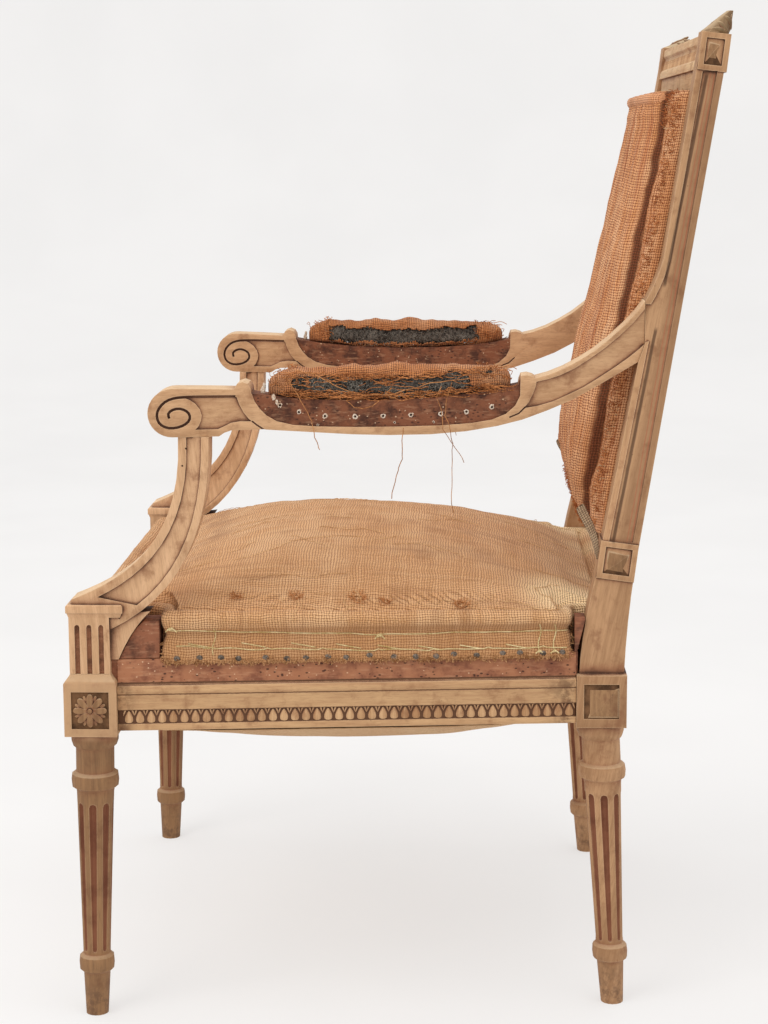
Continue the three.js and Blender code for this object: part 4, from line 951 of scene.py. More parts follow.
def from_faces(name: str, points: Sequence[Sequence[float]], faces: Sequence[Sequence[int]]) -> Piece:
    """A new object from points in metres and faces.

    Args:
        name: the name of the object.
        points: the corners.
        faces: corner numbers of each face.

    Returns:
        The object.
    """
    mesh = bpy.data.meshes.new(name)
    mesh.from_pydata([tuple(p) for p in points], [], faces)
    mesh.validate()
    return linked(name, mesh)


def strips(rows: int, count: int, closed: bool = True) -> list[tuple[int, int, int, int]]:
    """The faces between rows of points of equal count, each row closed on itself or not.

    Args:
        rows: how many rows there are.
        count: points in a row.
        closed: whether a row meets itself.

    Returns:
        The faces, row by row.
    """
    return [(r * count + i, r * count + (i + 1) % count,
             (r + 1) * count + (i + 1) % count, (r + 1) * count + i)
            for r in range(rows - 1) for i in range(count if closed else count - 1)]


def skin(name: str, rings: Sequence[Sequence[Vector]], caps: bool = True) -> Piece:
    """A surface over rings of points.

    Args:
        name: the piece's name.
        rings: rings of equal count, each closed on itself.
        caps: whether the first and last rings are filled with a fan.

    Returns:
        The new piece.
    """
    count = len(rings[0])
    points = [p for ring in rings for p in ring]
    faces = list(strips(len(rings), count))
    for r, flip in ((0, True), (len(rings) - 1, False)) if caps else ():
        points.append(sum((Vector(p) for p in rings[r]), Vector()) / count)
        for i in range(count):
            pair = (r * count + i, r * count + (i + 1) % count)
            faces.append((len(points) - 1, *(pair[::-1] if flip else pair)))
    return from_faces(name, points, faces)


def woven_skin(name: str, rows: Sequence[Sequence[Vector]], closed: bool,
               cloth: Callable[[int, int, int], Pair]) -> Piece:
    """A surface over rows of points, with its weave map.

    Args:
        name: the piece's name.
        rows: rows of equal count, in metres.
        closed: whether each row closes on itself.
        cloth: turns a strip, a row and a column into the place on the flat cloth, in metres.

    Returns:
        The new piece.
    """
    count = len(rows[0])
    corners = [cloth(r, r + down, i + over) for r in range(len(rows) - 1)
               for i in range(count if closed else count - 1)
               for down, over in ((0, 0), (0, 1), (1, 1), (1, 0))]
    piece = from_faces(name, [p for row in rows for p in row], strips(len(rows), count, closed))
    layer = piece.data.uv_layers.new(name=CLOTH)
    for k, corner in enumerate(corners):
        layer.data[k].uv = corner
    return piece


def threads(name: str, paths: Iterable[Sequence[Vector]], radius: float, sides: int = 1) -> Piece:
    """Thin threads along paths of points, in one mesh.

    Args:
        name: the piece's name.
        paths: each thread's points, in metres.
        radius: of the thread, in millimetres.
        sides: the round's smoothness, 1 for a fine thread.

    Returns:
        The new piece.
    """
    curve = bpy.data.curves.new(name, "CURVE")
    curve.dimensions = "3D"
    curve.bevel_depth = radius * MM
    curve.bevel_resolution = sides - 1
    curve.resolution_u = 2
    curve.use_fill_caps = True
    for path in paths:
        spline = curve.splines.new("POLY")
        spline.points.add(len(path) - 1)
        for point, put in zip(spline.points, path):
            point.co = (*put, 1.0)
    select_only(linked(name, curve))
    bpy.ops.object.convert(target="MESH")
    return smoothed(active())


def wander(start: Vector, end: Vector, sway: float, bits: int, seed: int) -> list[Vector]:
    """A path between two places that strays from the straight line, by a share of its length.

    Args:
        start: the first place.
        end: the last place.
        sway: the share of the length that it strays by.
        bits: how many steps it has.
        seed: what its draws start from.

    Returns:
        The places along the path.
    """
    dice = random.Random(seed)
    reach = (end - start).length * sway
    pushes = [random_vector(dice, 1) for _ in range(3)]
    path = []
    for k in range(bits + 1):
        share = k / bits
        away = Vector()
        for turn, push in enumerate(pushes):
            away += push * math.sin((turn + 1) * math.pi * share) / (turn + 1)
        path.append(start.lerp(end, share) + away * reach)
    return path


def random_vector(dice: random.Random, reach: float) -> Vector:
    """Three throws of the dice between minus and plus the reach."""
    return Vector([dice.uniform(-reach, reach) for _ in range(3)])


def frayed(name: str, roots: Iterable[tuple[Vector, Vector]], length: Pair, radius: float,
           spread: float, seed: int) -> Piece:
    """Short loose ends.

    Args:
        name: the piece's name.
        roots: where each one starts, and the way that it points.
        length: least and greatest, in millimetres.
        radius: in millimetres.
        spread: how far from that way they may lean, 1 for as much again.
        seed: of the dice.

    Returns:
        The new piece.
    """
    dice = random.Random(seed)
    paths = []
    for root, way in roots:
        lean = random_vector(dice, spread)
        aim = (way.normalized() + lean).normalized() * dice.uniform(*length) * MM
        bend = random_vector(dice, 0.35) * aim.length
        paths.append([root, root + aim * 0.5 + bend, root + aim])
    return threads(name, paths, radius)


def round_points(count: int) -> list[Pair]:
    """The cosine and sine of evenly spaced angles round a full turn."""
    return [(math.cos(a), math.sin(a)) for a in (k / count * TURN for k in range(count))]


def height_on(piece: Piece, x: float, d: float, lift: float = 0.4) -> Vector:
    """The place on top of a piece at x and d of the side frame, lifted a little, in metres."""
    hit, spot, _, _ = piece.ray_cast(place(x, d, 1100), DOWN)
    return (spot if hit else place(x, d, 400)) + Vector((0, 0, lift * MM))


def outer_face(piece: Piece, sign: int, d: float, z: float) -> tuple[bool, Vector, Vector]:
    """Whether a piece's outer side is met at d and z, with the place and the way out there."""
    hit, spot, normal, _ = piece.ray_cast(place(450 * sign, d, z), Vector((-sign, 0, 0)))
    return hit, spot, normal


def side_spot(piece: Piece, sign: int, d: float, z: float, lift: float = 0.5) -> Vector:
    """The place on a piece's outer side at d and z, lifted a little outward, in metres."""
    hit, spot, normal = outer_face(piece, sign, d, z)
    return spot + normal * lift * MM if hit else place(295 * sign, d, z)


def front_face(piece: Piece, x: float, z: float, start: float = -120) -> tuple[bool, Vector, Vector]:
    """Whether a piece's front is met at x and z, with the place and the way out there."""
    hit, spot, normal, _ = piece.ray_cast(place(x, start, z), BACKWARD)
    return hit, spot, normal


@dataclass
class Timber:
    """A wooden node of the part, copied with its edges eased and dressed in its own grain."""

    node: str
    finish: Beech | TackedWood
    ease: float = 0.7
    stained: Callable[[bpy.types.MeshPolygon], bool] | None = None
    stain: Plain | TackedWood | None = None

    def build(self, slot: str = "beech") -> Piece:
        """Copies, merges, eases and dresses the node.

        Args:
            slot: the material slot.

        Returns:
            The finished timber.
        """
        piece = linked(f"{self.node}_timber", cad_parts[self.node].data.copy())
        select_only(piece)
        bpy.ops.mesh.customdata_custom_splitnormals_clear()
        with editing(piece):
            bpy.ops.mesh.dissolve_limited(angle_limit=math.radians(0.6))
        modified(piece, "BEVEL", width=self.ease * MM, segments=2, limit_method="ANGLE",
                 angle_limit=math.radians(34), use_clamp_overlap=True, harden_normals=False)
        smoothed(piece, 40)
        dressed(piece, self.finish.material())
        if self.stained:
            piece.data.materials.append(self.stain.material())
            for polygon in piece.data.polygons:
                polygon.material_index = int(self.stained(polygon))
        return ride(piece, slot, self.node)


RAIL_TOP = StainedZone(347.8, 372)
# Dark bands on the rails: the floor of the leaf row and a narrow line below and above the bead.
RAIL_LINES = (StainedZone(306.9, 321.2), StainedZone(336.0, 337.2), StainedZone(346.4, 348.0))
# Lines on the outer face of the back stiles: a brown band and a dark line behind the front bead, broken at
# the middle die, and two thin red lines near the rear.
STILE_LINES = (
    Stripe(413.5, STILE_LEAN, 11.0, 40.0, 478, 938, "7b5739", 0.5),
    Stripe(413.5, STILE_LEAN, 8.5, 13.0, 478, 694, "442b1b", 0.75),
    Stripe(413.5, STILE_LEAN, 8.5, 13.0, 730, 940, "442b1b", 0.75),
    Stripe(461.1, 0.1677, -9.2, -7.6, 478, 940, "a0573b", 0.6),
    Stripe(461.1, 0.1677, -13.2, -11.8, 478, 940, "a0573b", 0.5),
)
FRONT_PANELS = ((-19, 19, 302.4, 341.8, 312, 317.2), (-28, -21, 302.4, 341.8, 271, 309))
BACK_PANELS = ((486.5, 527.5, 300.5, 340.5, 268, 273.2), (503.8, 534.4, 444.5, 475, 252, 264),
               (597.4, 618, 943.4, 970.6, 222, 233))


def in_panels(*panels: tuple[float, float, float, float, float, float]) -> Callable:
    """A test for the faces of sunk panels, each given as first and last d, z and |x|.

    Args:
        panels: the limits of each panel.

    Returns:
        The test, which takes a polygon.
    """

    def test(polygon: bpy.types.MeshPolygon) -> bool:
        """Whether the whole face lies in one of the panels."""
        corners = [polygon.id_data.vertices[k].co for k in polygon.vertices]
        spots = [(depth_of(at), at.z / MM, abs(at.x / MM)) for at in corners]
        return any(all(d0 < d < d1 and z0 < z < z1 and x0 < x < x1 for d, z, x in spots)
                   for d0, d1, z0, z1, x0, x1 in panels)

    return test


def in_flutes(polygon: bpy.types.MeshPolygon) -> bool:
    """Whether a face lies in the flutes of the arm's post, on its outer side or its front.

    Args:
        polygon: the face to look at.

    Returns:
        Whether it does.
    """
    at = polygon.center
    d, z, x = depth_of(at), at.z / MM, abs(at.x / MM)
    outer = 306.5 < x < 309.4 and abs(d) < 19
    front = abs(x - POST_AXIS) < 19 and d < -16.5 and abs(polygon.normal.x) > 0.2
    return 350 < z < 409 and (outer or front)


def arm_field(polygon: bpy.types.MeshPolygon) -> bool:
    """Whether a face of an arm lies in the sunk field or on the bed that the pad was tacked to.

    Args:
        polygon: the face to look at.

    Returns:
        Whether it does.
    """
    at, normal = polygon.center, polygon.normal
    d = depth_of(at)
    sunk = 17 - abs(abs(at.x / MM) - arm_axis(d))
    on_bed = normal.z > 0.7 and at.z < 0.646
    return 168 < d < 424 and (on_bed or (abs(normal.x) > 0.9 and 1.5 < sunk < 3.8))


@dataclass
class Frame:
    """All the timbers of the chair."""

    def build(self) -> None:
        """Builds each timber with the grain that it is sawn to."""
        for side in Side:
            self.side_timbers(side.word, side.value)
        for rail, looks in (("front rail", {"zone": RAIL_TOP, "carved": RAIL_LINES}),
                            ("back rail", {"zone": StainedZone(350, 372)}),
                            ("crest", {"pale": "cfae84"}), ("lower back rail", {})):
            node = "crest_rail" if rail == "crest" else rail.replace(" ", "_")
            Timber(node, Beech(f"{rail} beech", Grain.ACROSS, **looks)).build()

    def side_timbers(self, word: str, sign: int) -> None:
        """Builds the timbers of one side.

        Args:
            word: the side's word.
            sign: the side's sign.
        """
        # Sunk panel floors painted darker brown: grime and painted shade in the recess.
        panel = Plain(f"panel grime {word}", "7c593d", "4c3524", 90, 0.85)

        def timber(name: str, grain: Grain, stained: Callable | None = None,
                   stain: Plain | TackedWood | None = None, ease: float = 0.7, **looks: object) -> None:
            """Builds one timber of this side."""
            Timber(f"{name}_{word}", Beech(f"{name.replace('_', ' ')} beech {word}", grain, **looks),
                   ease, stained, stain).build()

        timber("front_leg", Grain.UPRIGHT, in_panels(*FRONT_PANELS), panel,
               flutes=Flutes(POST_AXIS * sign, 0, -5), low_dark=True, pale="96704c", mid="7b5a3d",
               deep="5b412c", pale_above=288)
        timber("back_leg", Grain.UPRIGHT, in_panels(*BACK_PANELS), panel, tilt=STILE_LEAN,
               flutes=Flutes(BACK_LEG_AXIS * sign, SEAT_BACK, 15.5), low_dark=True, pale="ba9069",
               mid="9a7350", deep="7c573b", stripes=STILE_LINES)
        timber("side_rail", Grain.ALONG, zone=RAIL_TOP, pale="caa276", carved=RAIL_LINES,
               dark_ends=(27, 479))
        timber("arm_support", Grain.UPRIGHT, in_flutes,
               TackedWood(f"post flute stain {word}", "9a6648", "6c4530", 0.0),
               tilt=-0.12, pale="d8ae86", mid="bb916a")
        timber("arm", Grain.ALONG, arm_field, TackedWood(f"arm field {word}", "7d4b32", "4a2a1d", 0.8),
               ease=0.5, grime="57382a")
        timber("finial", Grain.UPRIGHT, pale="8f7454", mid="71583e", deep="4f3b2a")
        for node in (f"front_block_{word}", f"rear_block_{word}"):
            Timber(node, TackedWood(f"{node} stained wood", "8f5a40", "5f3a2a", 0.3),
                   ease=1.0).build("rough_wood")


# Soft goods


def swollen(piece: Piece, loose: Callable[[Vector], bool], cap: float, frames: int = 20) -> None:
    """Swells a stuffed piece with a cloth simulation, then moves no point further than a cap.

    Args:
        piece: a closed mesh, a little smaller than it shall be.
        loose: whether a point, in metres, may move.
        cap: in millimetres.
        frames: steps of the simulation.
    """
    start = [vertex.co.copy() for vertex in piece.data.vertices]
    held = piece.vertex_groups.new(name="held")
    held.add([k for k, at in enumerate(start) if not loose(at)], 1.0, "REPLACE")
    modifier = piece.modifiers.new("swell", "CLOTH")
    settings = modifier.settings
    for key, value in (("quality", 4), ("mass", 0.3), ("use_pressure", True),
                       ("uniform_pressure_force", 4.0), ("vertex_group_mass", "held"),
                       ("tension_stiffness", 12), ("compression_stiffness", 12),
                       ("bending_stiffness", 0.3)):
        setattr(settings, key, value)
    settings.effector_weights.gravity = 0
    modifier.point_cache.frame_start = 1
    modifier.point_cache.frame_end = frames
    scene = bpy.context.scene
    for step in range(1, frames + 1):
        scene.frame_set(step)
        bpy.context.view_layer.update()
    select_only(piece)
    bpy.ops.object.modifier_apply(modifier=modifier.name)
    scene.frame_set(1)
    for vertex, before in zip(piece.data.vertices, start):
        move = vertex.co - before
        if move.length > cap * MM:
            vertex.co = before + move.normalized() * cap * MM
    piece.vertex_groups.clear()


def resampled(line: Sequence[Pair], count: int) -> list[Pair]:
    """Evenly spaced points along a closed line in the plane.

    Args:
        line: the corners of the line.
        count: how many points are wanted.

    Returns:
        The points.
    """
    ends = list(line) + [line[0]]
    reach = [0.0]
    for a, b in zip(ends, ends[1:]):
        reach.append(reach[-1] + math.dist(a, b))
    tables = [list(zip(reach, (p[axis] for p in ends))) for axis in (0, 1)]
    return [tuple(along_table(table, reach[-1] * k / count) for table in tables)
            for k in range(count)]


def rounded(line: Sequence[Pair], passes: int) -> list[Pair]:
    """A closed line with its corners worn round.

    Args:
        line: the points of the line.
        passes: how often each point is drawn to its neighbours.

    Returns:
        The points of the worn line.
    """
    points = list(line)
    for _ in range(passes):
        points = [tuple((a + 2 * b + c) / 4 for a, b, c in zip(*trio))
                  for trio in zip(points[-1:] + points, points, points[1:] + points[:1])]
    return points


@dataclass
class SeatStuffing:
    """The seat: a tacked band, a stitched roll along the edge and a high dome, all of burlap."""

    half_plan: tuple[Pair, ...] = (
        (0, -10), (259, -10), (259, 68), (299.3, 68), (264.8, 477), (230, 477), (230, 522), (0, 522),
    )
    middle: float = 256.0
    edge: float = 413.0
    edge_fall: float = 7.0
    crown: float = 54.0
    count: int = 320
    dome_rows: int = 26
    crown_table: tuple[Pair, ...] = (
        (0.0, 1.0), (0.1, 0.995), (0.18, 0.98), (0.3, 0.93), (0.4, 0.87), (0.52, 0.77), (0.62, 0.66),
        (0.72, 0.51), (0.8, 0.37), (0.87, 0.22), (0.91, 0.13), (0.955, 0.02),
    )
    band_rows: tuple[Pair, ...] = (
        (34, 405), (33, 371.5), (2.0, 371.5), (-0.5, 370.8), (-0.8, 368.4), (-1.1, 365.8), (-2.0, 365.4),
        (-2.5, 367.4), (-2.2, 370.0), (-1.4, 373.5), (-0.2, 378.5), (1.2, 384), (2.8, 388.5), (4.8, 391.6),
        (5.8, 394.4), (3.2, 398.0), (0.2, 402.6), (-0.8, 407), (0.5, 411.6), (4.0, 414.8), (8.2, 415.9),
        (12.5, 414.4), (15.5, 410.6), (17.5, 408.6),
    )
    worn_spots: tuple[Point, ...] = (
        (252, 200, 5.0), (250, 262, 7.5), (252, 290, 4.0), (250, 366, 6.0), (256, 140, 3.5),
        (-250, 240, 6.0), (-252, 330, 4.5),
    )
    long_runs: tuple[tuple[Pair, Pair], ...] = (
        ((230, 150), (215, 250)), ((180, 130), (120, 260)), ((262, 420), (255, 470)),
        ((240, 405), (262, 455)), ((252, 340), (262, 430)), ((200, 60), (170, 120)),
    )

    def build(self) -> None:
        """Builds the stuffing and all that is sewn or tacked to it."""
        plan = self.plan()
        normals = self.normals(plan)
        rows, lengths = [], [0.0]
        for inset, z in self.band_rows:
            rows.append([self.band_point(p, n, inset, z, k) for k, (p, n) in enumerate(zip(plan, normals))])
            if len(rows) > 1:
                lengths.append(lengths[-1] + (rows[-1][0] - rows[-2][0]).length)
        valley = len(rows) - 1
        for step in range(1, self.dome_rows):
            reach = 0.952 * (1 - (step / self.dome_rows) ** 1.15) + 0.02
            rows.append(self.dome_row(plan, normals, reach))
        around = [0.0]
        for a, b in zip(plan, plan[1:] + plan[:1]):
            around.append(around[-1] + math.dist(a, b) * MM)

        def cloth(strip: int, row: int, column: int) -> Pair:
            """The place in the cloth of a corner of the stuffing."""
            if strip < valley:
                return around[column], lengths[row]
            point = rows[row][column % self.count]
            return point.x, point.y

        piece = outward(woven_skin("seat_stuffing", rows, True, cloth))
        low = (self.edge + 1.5) * MM
        swollen(piece, lambda at: at.z > low and self.is_inner(at), 3.0)
        self.keep_clear(piece)
        capped(subdivided(piece))
        self.roughen(piece)
        self.finish(smoothed(piece))
        ride(piece, "burlap", "seat_pad")
        for trim in (self.twine, self.tacks, self.hem, self.loose_threads, self.tufts):
            trim(piece)

    def finish(self, piece: Piece) -> None:
        """Dresses the stuffing in its burlap, pale at the back corners and brown at the front.

        Args:
            piece: the stuffing.
        """
        spots = [Spot((sign * x, d, z), reach, tone, strength)
                 for x, d, z, reach, tone, strength in ((212, 482, 436, 0.082, "ffe2b2", 1.0),
                                                        (90, 520, 425, 0.06, "eccfa0", 0.7))
                 for sign in (1, -1)]
        spots.append(Spot((250, 60, 430), 0.07, "c08a5c", 0.5))
        dressed(piece, Burlap("seat burlap", "dcab7c", "c08d5c", "8e613c", "e4ba8e", fade=0.6, pitch=2.7,
                              slack=1.5, spots=tuple(spots), darker_below=(402.0, "a9764a"),
                              streaks=0.35).material())

    def plan(self) -> list[Pair]:
        """The stuffing's outline, counterclockwise from above."""
        line = list(self.half_plan) + [(-x, d) for x, d in reversed(self.half_plan) if x > 0]
        return rounded(resampled(line, self.count), 2)

    def normals(self, plan: Sequence[Pair]) -> list[Pair]:
        """The way out of the outline at each point, taken over a long reach.

        Args:
            plan: the outline, seen from above.

        Returns:
            One unit arrow for each point.
        """
        ways = []
        for k in range(self.count):
            a, b = plan[k - 4], plan[(k + 4) % self.count]
            length = math.dist(a, b)
            ways.append(((b[1] - a[1]) / length, -(b[0] - a[0]) / length))
        return ways

    def level(self, d: float) -> float:
        """How far the edge stands below its middle height at a depth."""
        return -self.edge_fall * (d - self.middle) / (2 * self.middle)

    def band_point(self, p: Pair, n: Pair, inset: float, z: float, column: int) -> Vector:
        """A point of the band or roll, with the waver of hand work.

        Args:
            p: a point of the outline.
            n: the way out there.
            inset: how far in from the outline it lies.
            z: its height.
            column: the number of its column.

        Returns:
            The place.
        """
        waver = 0.0 if z < 373 or inset > 30 else ripple(p[0] * 0.02, p[1] * 0.02, z * 0.05) * 1.6
        rag = 1.4 * ripple(p[0] * 0.11, p[1] * 0.11, 5) if inset < 0 and z < 369 else 0.0
        pull = 0.7 * math.sin(column * TURN / 3.55) if 385 < z < 399 else 0.0
        x, d = (p[axis] - n[axis] * (inset + max(0.0, waver) + pull * 0.6) for axis in (0, 1))
        if abs(x) > 262 and z < 412:
            d = min(max(d, 68.6), 476.4)
        rise = self.level(d) if z > 399 and inset < 30 else 0.0
        return place(self.held_x(x, d, z), d, z + rise + rag + (0.5 * waver if z > 402 else 0.0))

    def held_x(self, x: float, d: float, z: float) -> float:
        """Keeps x inside the back stiles, which lean inward, and the front posts.

        Args:
            x: the wanted x.
            d: its depth.
            z: its height.

        Returns:
            The x that is clear.
        """
        if 27 <= d < 476.5:
            return x
        limit = 258.6 if d < 27 else stile_axis(z) - 17.4
        return max(-limit, min(limit, x))

    def dome_row(self, plan: Sequence[Pair], normals: Sequence[Pair], reach: float) -> list[Vector]:
        """A row of the dome: close to the outline outside, a soft square inside.

        Args:
            plan: the outline, seen from above.
            normals: the way out at each point.
            reach: how far out the row lies, 0 in the middle.

        Returns:
            The places of the row.
        """
        row = []
        share = smooth(0.78, 0.955, reach)
        for p, n in zip(plan, normals):
            inner = (p[0] - n[0] * 17.5, p[1] - n[1] * 17.5)
            angle = math.atan2((inner[1] - self.middle) / 266, inner[0] / 284)
            c, s = math.cos(angle), math.sin(angle)
            d = self.middle + 266 * math.copysign(abs(s) ** 0.24, s)
            x = rail_half(d) * math.copysign(abs(c) ** 0.24, c)
            x = lerp(x, inner[0] / 0.955, share) * reach
            d = self.middle + lerp(d - self.middle, (inner[1] - self.middle) / 0.955, share) * reach
            along = (d - self.middle) / self.middle
            crown = 1 - 0.95 * (-along) ** 3.3 if along < 0 else 1 - 0.5 * along ** 1.9
            z = self.edge + self.level(d) + self.crown * along_table(self.crown_table, reach) * crown
            row.append(place(self.held_x(x, d, z), d, z))
        return row

    def is_inner(self, at: Vector) -> bool:
        """Whether a point lies well inside the seat's outline."""
        d = depth_of(at)
        return 24 < d < 476 and abs(at.x / MM) < rail_half(d) - 36

    def keep_clear(self, piece: Piece) -> None:
        """Draws points back from the stiles after the swelling.

        Args:
            piece: the stuffing.
        """
        for vertex in piece.data.vertices:
            at = vertex.co
            at.x = self.held_x(at.x / MM, depth_of(at), at.z / MM) * MM

    def roughen(self, piece: Piece) -> None:
        """Lumps of stuffing and slack in the cloth.

        Args:
            piece: the stuffing.
        """
        for vertex in piece.data.vertices:
            at = vertex.co
            if at.z < 0.374:
                continue
            d = depth_of(at)
            lump = noise.noise(at * 22) * 1.5 + noise.noise(at * 60 + Vector((5, 1, 2))) * 0.6
            across = abs(at.x / MM) - (rail_half(d) - 30)
            gathers = math.sin(d * 0.36 + 3 * noise.noise(at * 9)) * math.exp(-(across / 13) ** 2) * 0.9
            if at.z < 0.4165:
                lump, gathers = lump * 0.35, 0.0
            vertex.co.z += (lump + gathers) * MM

    def twine(self, piece: Piece) -> None:
        """The two rows of twine along the band, its knots and its upright stitches.

        Args:
            piece: the stuffing.
        """
        paths = []
        for sign in (1, -1):
            for heights, wave in ((((78, 399), (280, 391.5), (474, 392.5)), 0.7),
                                  (((84, 383), (120, 380.5), (330, 376), (470, 376)), 1.2)):
                path = []
                for k in range(100):
                    d = lerp(heights[0][0], heights[-1][0], k / 99)
                    dip = wave * ripple(d * 0.035, wave, sign) * 2
                    hop = 1.3 if wave > 1 and k % 14 == 9 else 0.0
                    path.append(side_spot(piece, sign, d, along_table(heights, d) + dip + hop, 0.55))
                paths.append(path)
            for d in (443, 458, 121):
                paths.append([side_spot(piece, sign, d + 1.5 * math.sin(k), lerp(400, 374, k / 6), 0.6)
                              for k in range(7)])
            for k in range(8):
                d = 96 + 46 * k + 9 * math.sin(k * 7)
                base = lerp(385.5, 379.5, k / 7)
                paths.append([side_spot(piece, sign, d + 6 * j, base - 1.1 * j + math.sin(k), 0.6)
                              for j in range(5)])
        for z in (399.5, 388.5):
            places = ((x, z + ripple(x * 0.03, z, 4) * 2.4)
                      for x in (lerp(-248, 248, k / 89) for k in range(90)))
            met = (front_face(piece, x, height) for x, height in places)
            paths.append([spot + normal * 0.55 * MM for hit, spot, normal in met if hit])
        line = threads("seat_twine", paths, 0.56, 2)
        knots = [self.knot(side_spot(piece, sign, d, z, 1.2), size, 11 * d)
                 for sign in (1, -1)
                 for d, z, size in ((284, 390, 1.0), (79, 401, 0.8), (443, 373, 0.5), (458, 373, 0.5))]
        whole = joined("seat_twine", [line, *knots])
        ride(dressed(whole, Plain("flax twine", "e6d4a6", "b09258", 900, 0.8).material()), "burlap")

    def knot(self, at: Vector, size: float, seed: float) -> Piece:
        """A knot with its two ends.

        Args:
            at: its place.
            size: its size in millimetres.
            seed: what its draws start from.

        Returns:
            The knot.
        """
        dice = random.Random(seed)
        paths = []
        for turn in range(3):
            tilt = Matrix.Rotation(turn * 1.1, 3, (0.3, 1, 0.2))
            paths.append([at + tilt @ Vector((math.cos(a) * 0.7, math.sin(a) * 2.4, math.sin(2 * a) * 1.2))
                          * size * MM for a in (k * math.pi / 5 for k in range(11))])
        for way in (-1, 1):
            end = at + Vector((0, way * dice.uniform(5, 9), -dice.uniform(2, 6))) * size * MM
            paths.append([at, at.lerp(end, 0.5) + Vector((0, 0, 1.5 * size * MM)), end])
        return threads("knot", paths, 0.75, 2)

    def tack_spots(self, piece: Piece) -> list[tuple[Vector, Vector]]:
        """Where the tacks are and which way their heads face.

        Args:
            piece: the stuffing that the tacks are driven into.

        Returns:
            The place and the way out of each head.
        """
        dice = random.Random(5)
        spots = []
        for sign in (1, -1):
            for k in range(19):
                d = 84 + 21.3 * k + dice.uniform(-3, 3)
                spots.append((side_spot(piece, sign, d, 370.2 + dice.uniform(-1, 1.4), -0.2),
                              Vector((sign, 0, -0.25))))
        for k in range(23):
            x = -240 + 21.8 * k + dice.uniform(-3, 3)
            hit, spot, _ = front_face(piece, x, 370.4 + dice.uniform(-1, 1))
            if hit:
                spots.append((spot, Vector((0, -1, -0.25))))
        return spots

    def tacks(self, piece: Piece) -> None:
        """Blued steel tacks along the foot of the band.

        Args:
            piece: the stuffing.
        """
        select_only(piece)
        bpy.ops.mesh.primitive_uv_sphere_add(segments=12, ring_count=8, radius=1)
        master = active()
        master.data.transform(Matrix.Diagonal((3.4 * MM, 3.4 * MM, 1.3 * MM, 1)))
        turned = [Matrix.Translation(at) @ way.to_track_quat("Z", "Y").to_matrix().to_4x4()
                  for at, way in self.tack_spots(piece)]
        whole = smoothed(copies("seat_tacks", master, turned))
        ride(dressed(whole, Plain("blued steel", "85776a", "453a30", 500, 0.6, 0.1).material()),
             "spring_steel")

    def hem(self, piece: Piece) -> None:
        """The frayed hem at the foot of the band.

        Args:
            piece: the stuffing.
        """
        dice = random.Random(17)
        roots = []
        for sign in (1, -1):
            for _ in range(760):
                d = dice.uniform(72, 474)
                at = side_spot(piece, sign, d, 366.4 + dice.triangular(0, 6.5, 0), 0.1)
                roots.append((at, Vector((0.7 * sign, 0, -0.55))))
            for _ in range(60):
                z = dice.uniform(367, 399)
                d = 71 if dice.random() < 0.5 else 474
                roots.append((side_spot(piece, sign, d, z, 0.1),
                              Vector((0.8 * sign, -0.6 if d < 100 else 0.4, -0.3))))
        for _ in range(420):
            x = dice.uniform(-252, 252)
            hit, spot, _ = front_face(piece, x, 366.6 + dice.triangular(0, 6, 0))
            if hit:
                roots.append((spot, Vector((0, -0.7, -0.5))))
        fringe = frayed("seat_hem_threads", roots, (2.0, 5.5), 0.33, 0.75, 3)
        ride(dressed(fringe, Plain("hem burlap", "d3a374", "8f6038", 400).material()), "burlap")

    def loose_threads(self, piece: Piece) -> None:
        """Single long threads that lie on the dome and stray from the edge.

        Args:
            piece: the stuffing.
        """
        dice = random.Random(23)
        paths = []
        runs = list(self.long_runs)
        for _ in range(26):
            x, d = dice.uniform(-240, 240), dice.uniform(40, 460)
            runs.append(((x, d), (x + dice.uniform(-40, 40), d + dice.uniform(20, 80))))
        for k, (first, last) in enumerate(runs):
            line = wander(Vector((*first, 0)), Vector((*last, 0)), 0.13, 18, 40 + k)
            paths.append([height_on(piece, p.x, p.y, 0.5 + 0.8 * abs(math.sin(j * 0.9)))
                          for j, p in enumerate(line)])
        for sign in (1, -1):
            for k in range(16):
                d = dice.uniform(90, 465)
                a = side_spot(piece, sign, d, dice.uniform(402, 409), 0.6)
                b = height_on(piece, sign * (rail_half(d) - dice.uniform(22, 40)),
                              d + dice.uniform(-14, 14), 0.8)
                paths.append(wander(a, b, 0.3, 10, 90 + k))
        fine = threads("seat_loose_threads", paths, 0.28)
        ride(dressed(fine, Plain("loose burlap thread", "e3bd8e", "a87a4a", 500).material()), "burlap")

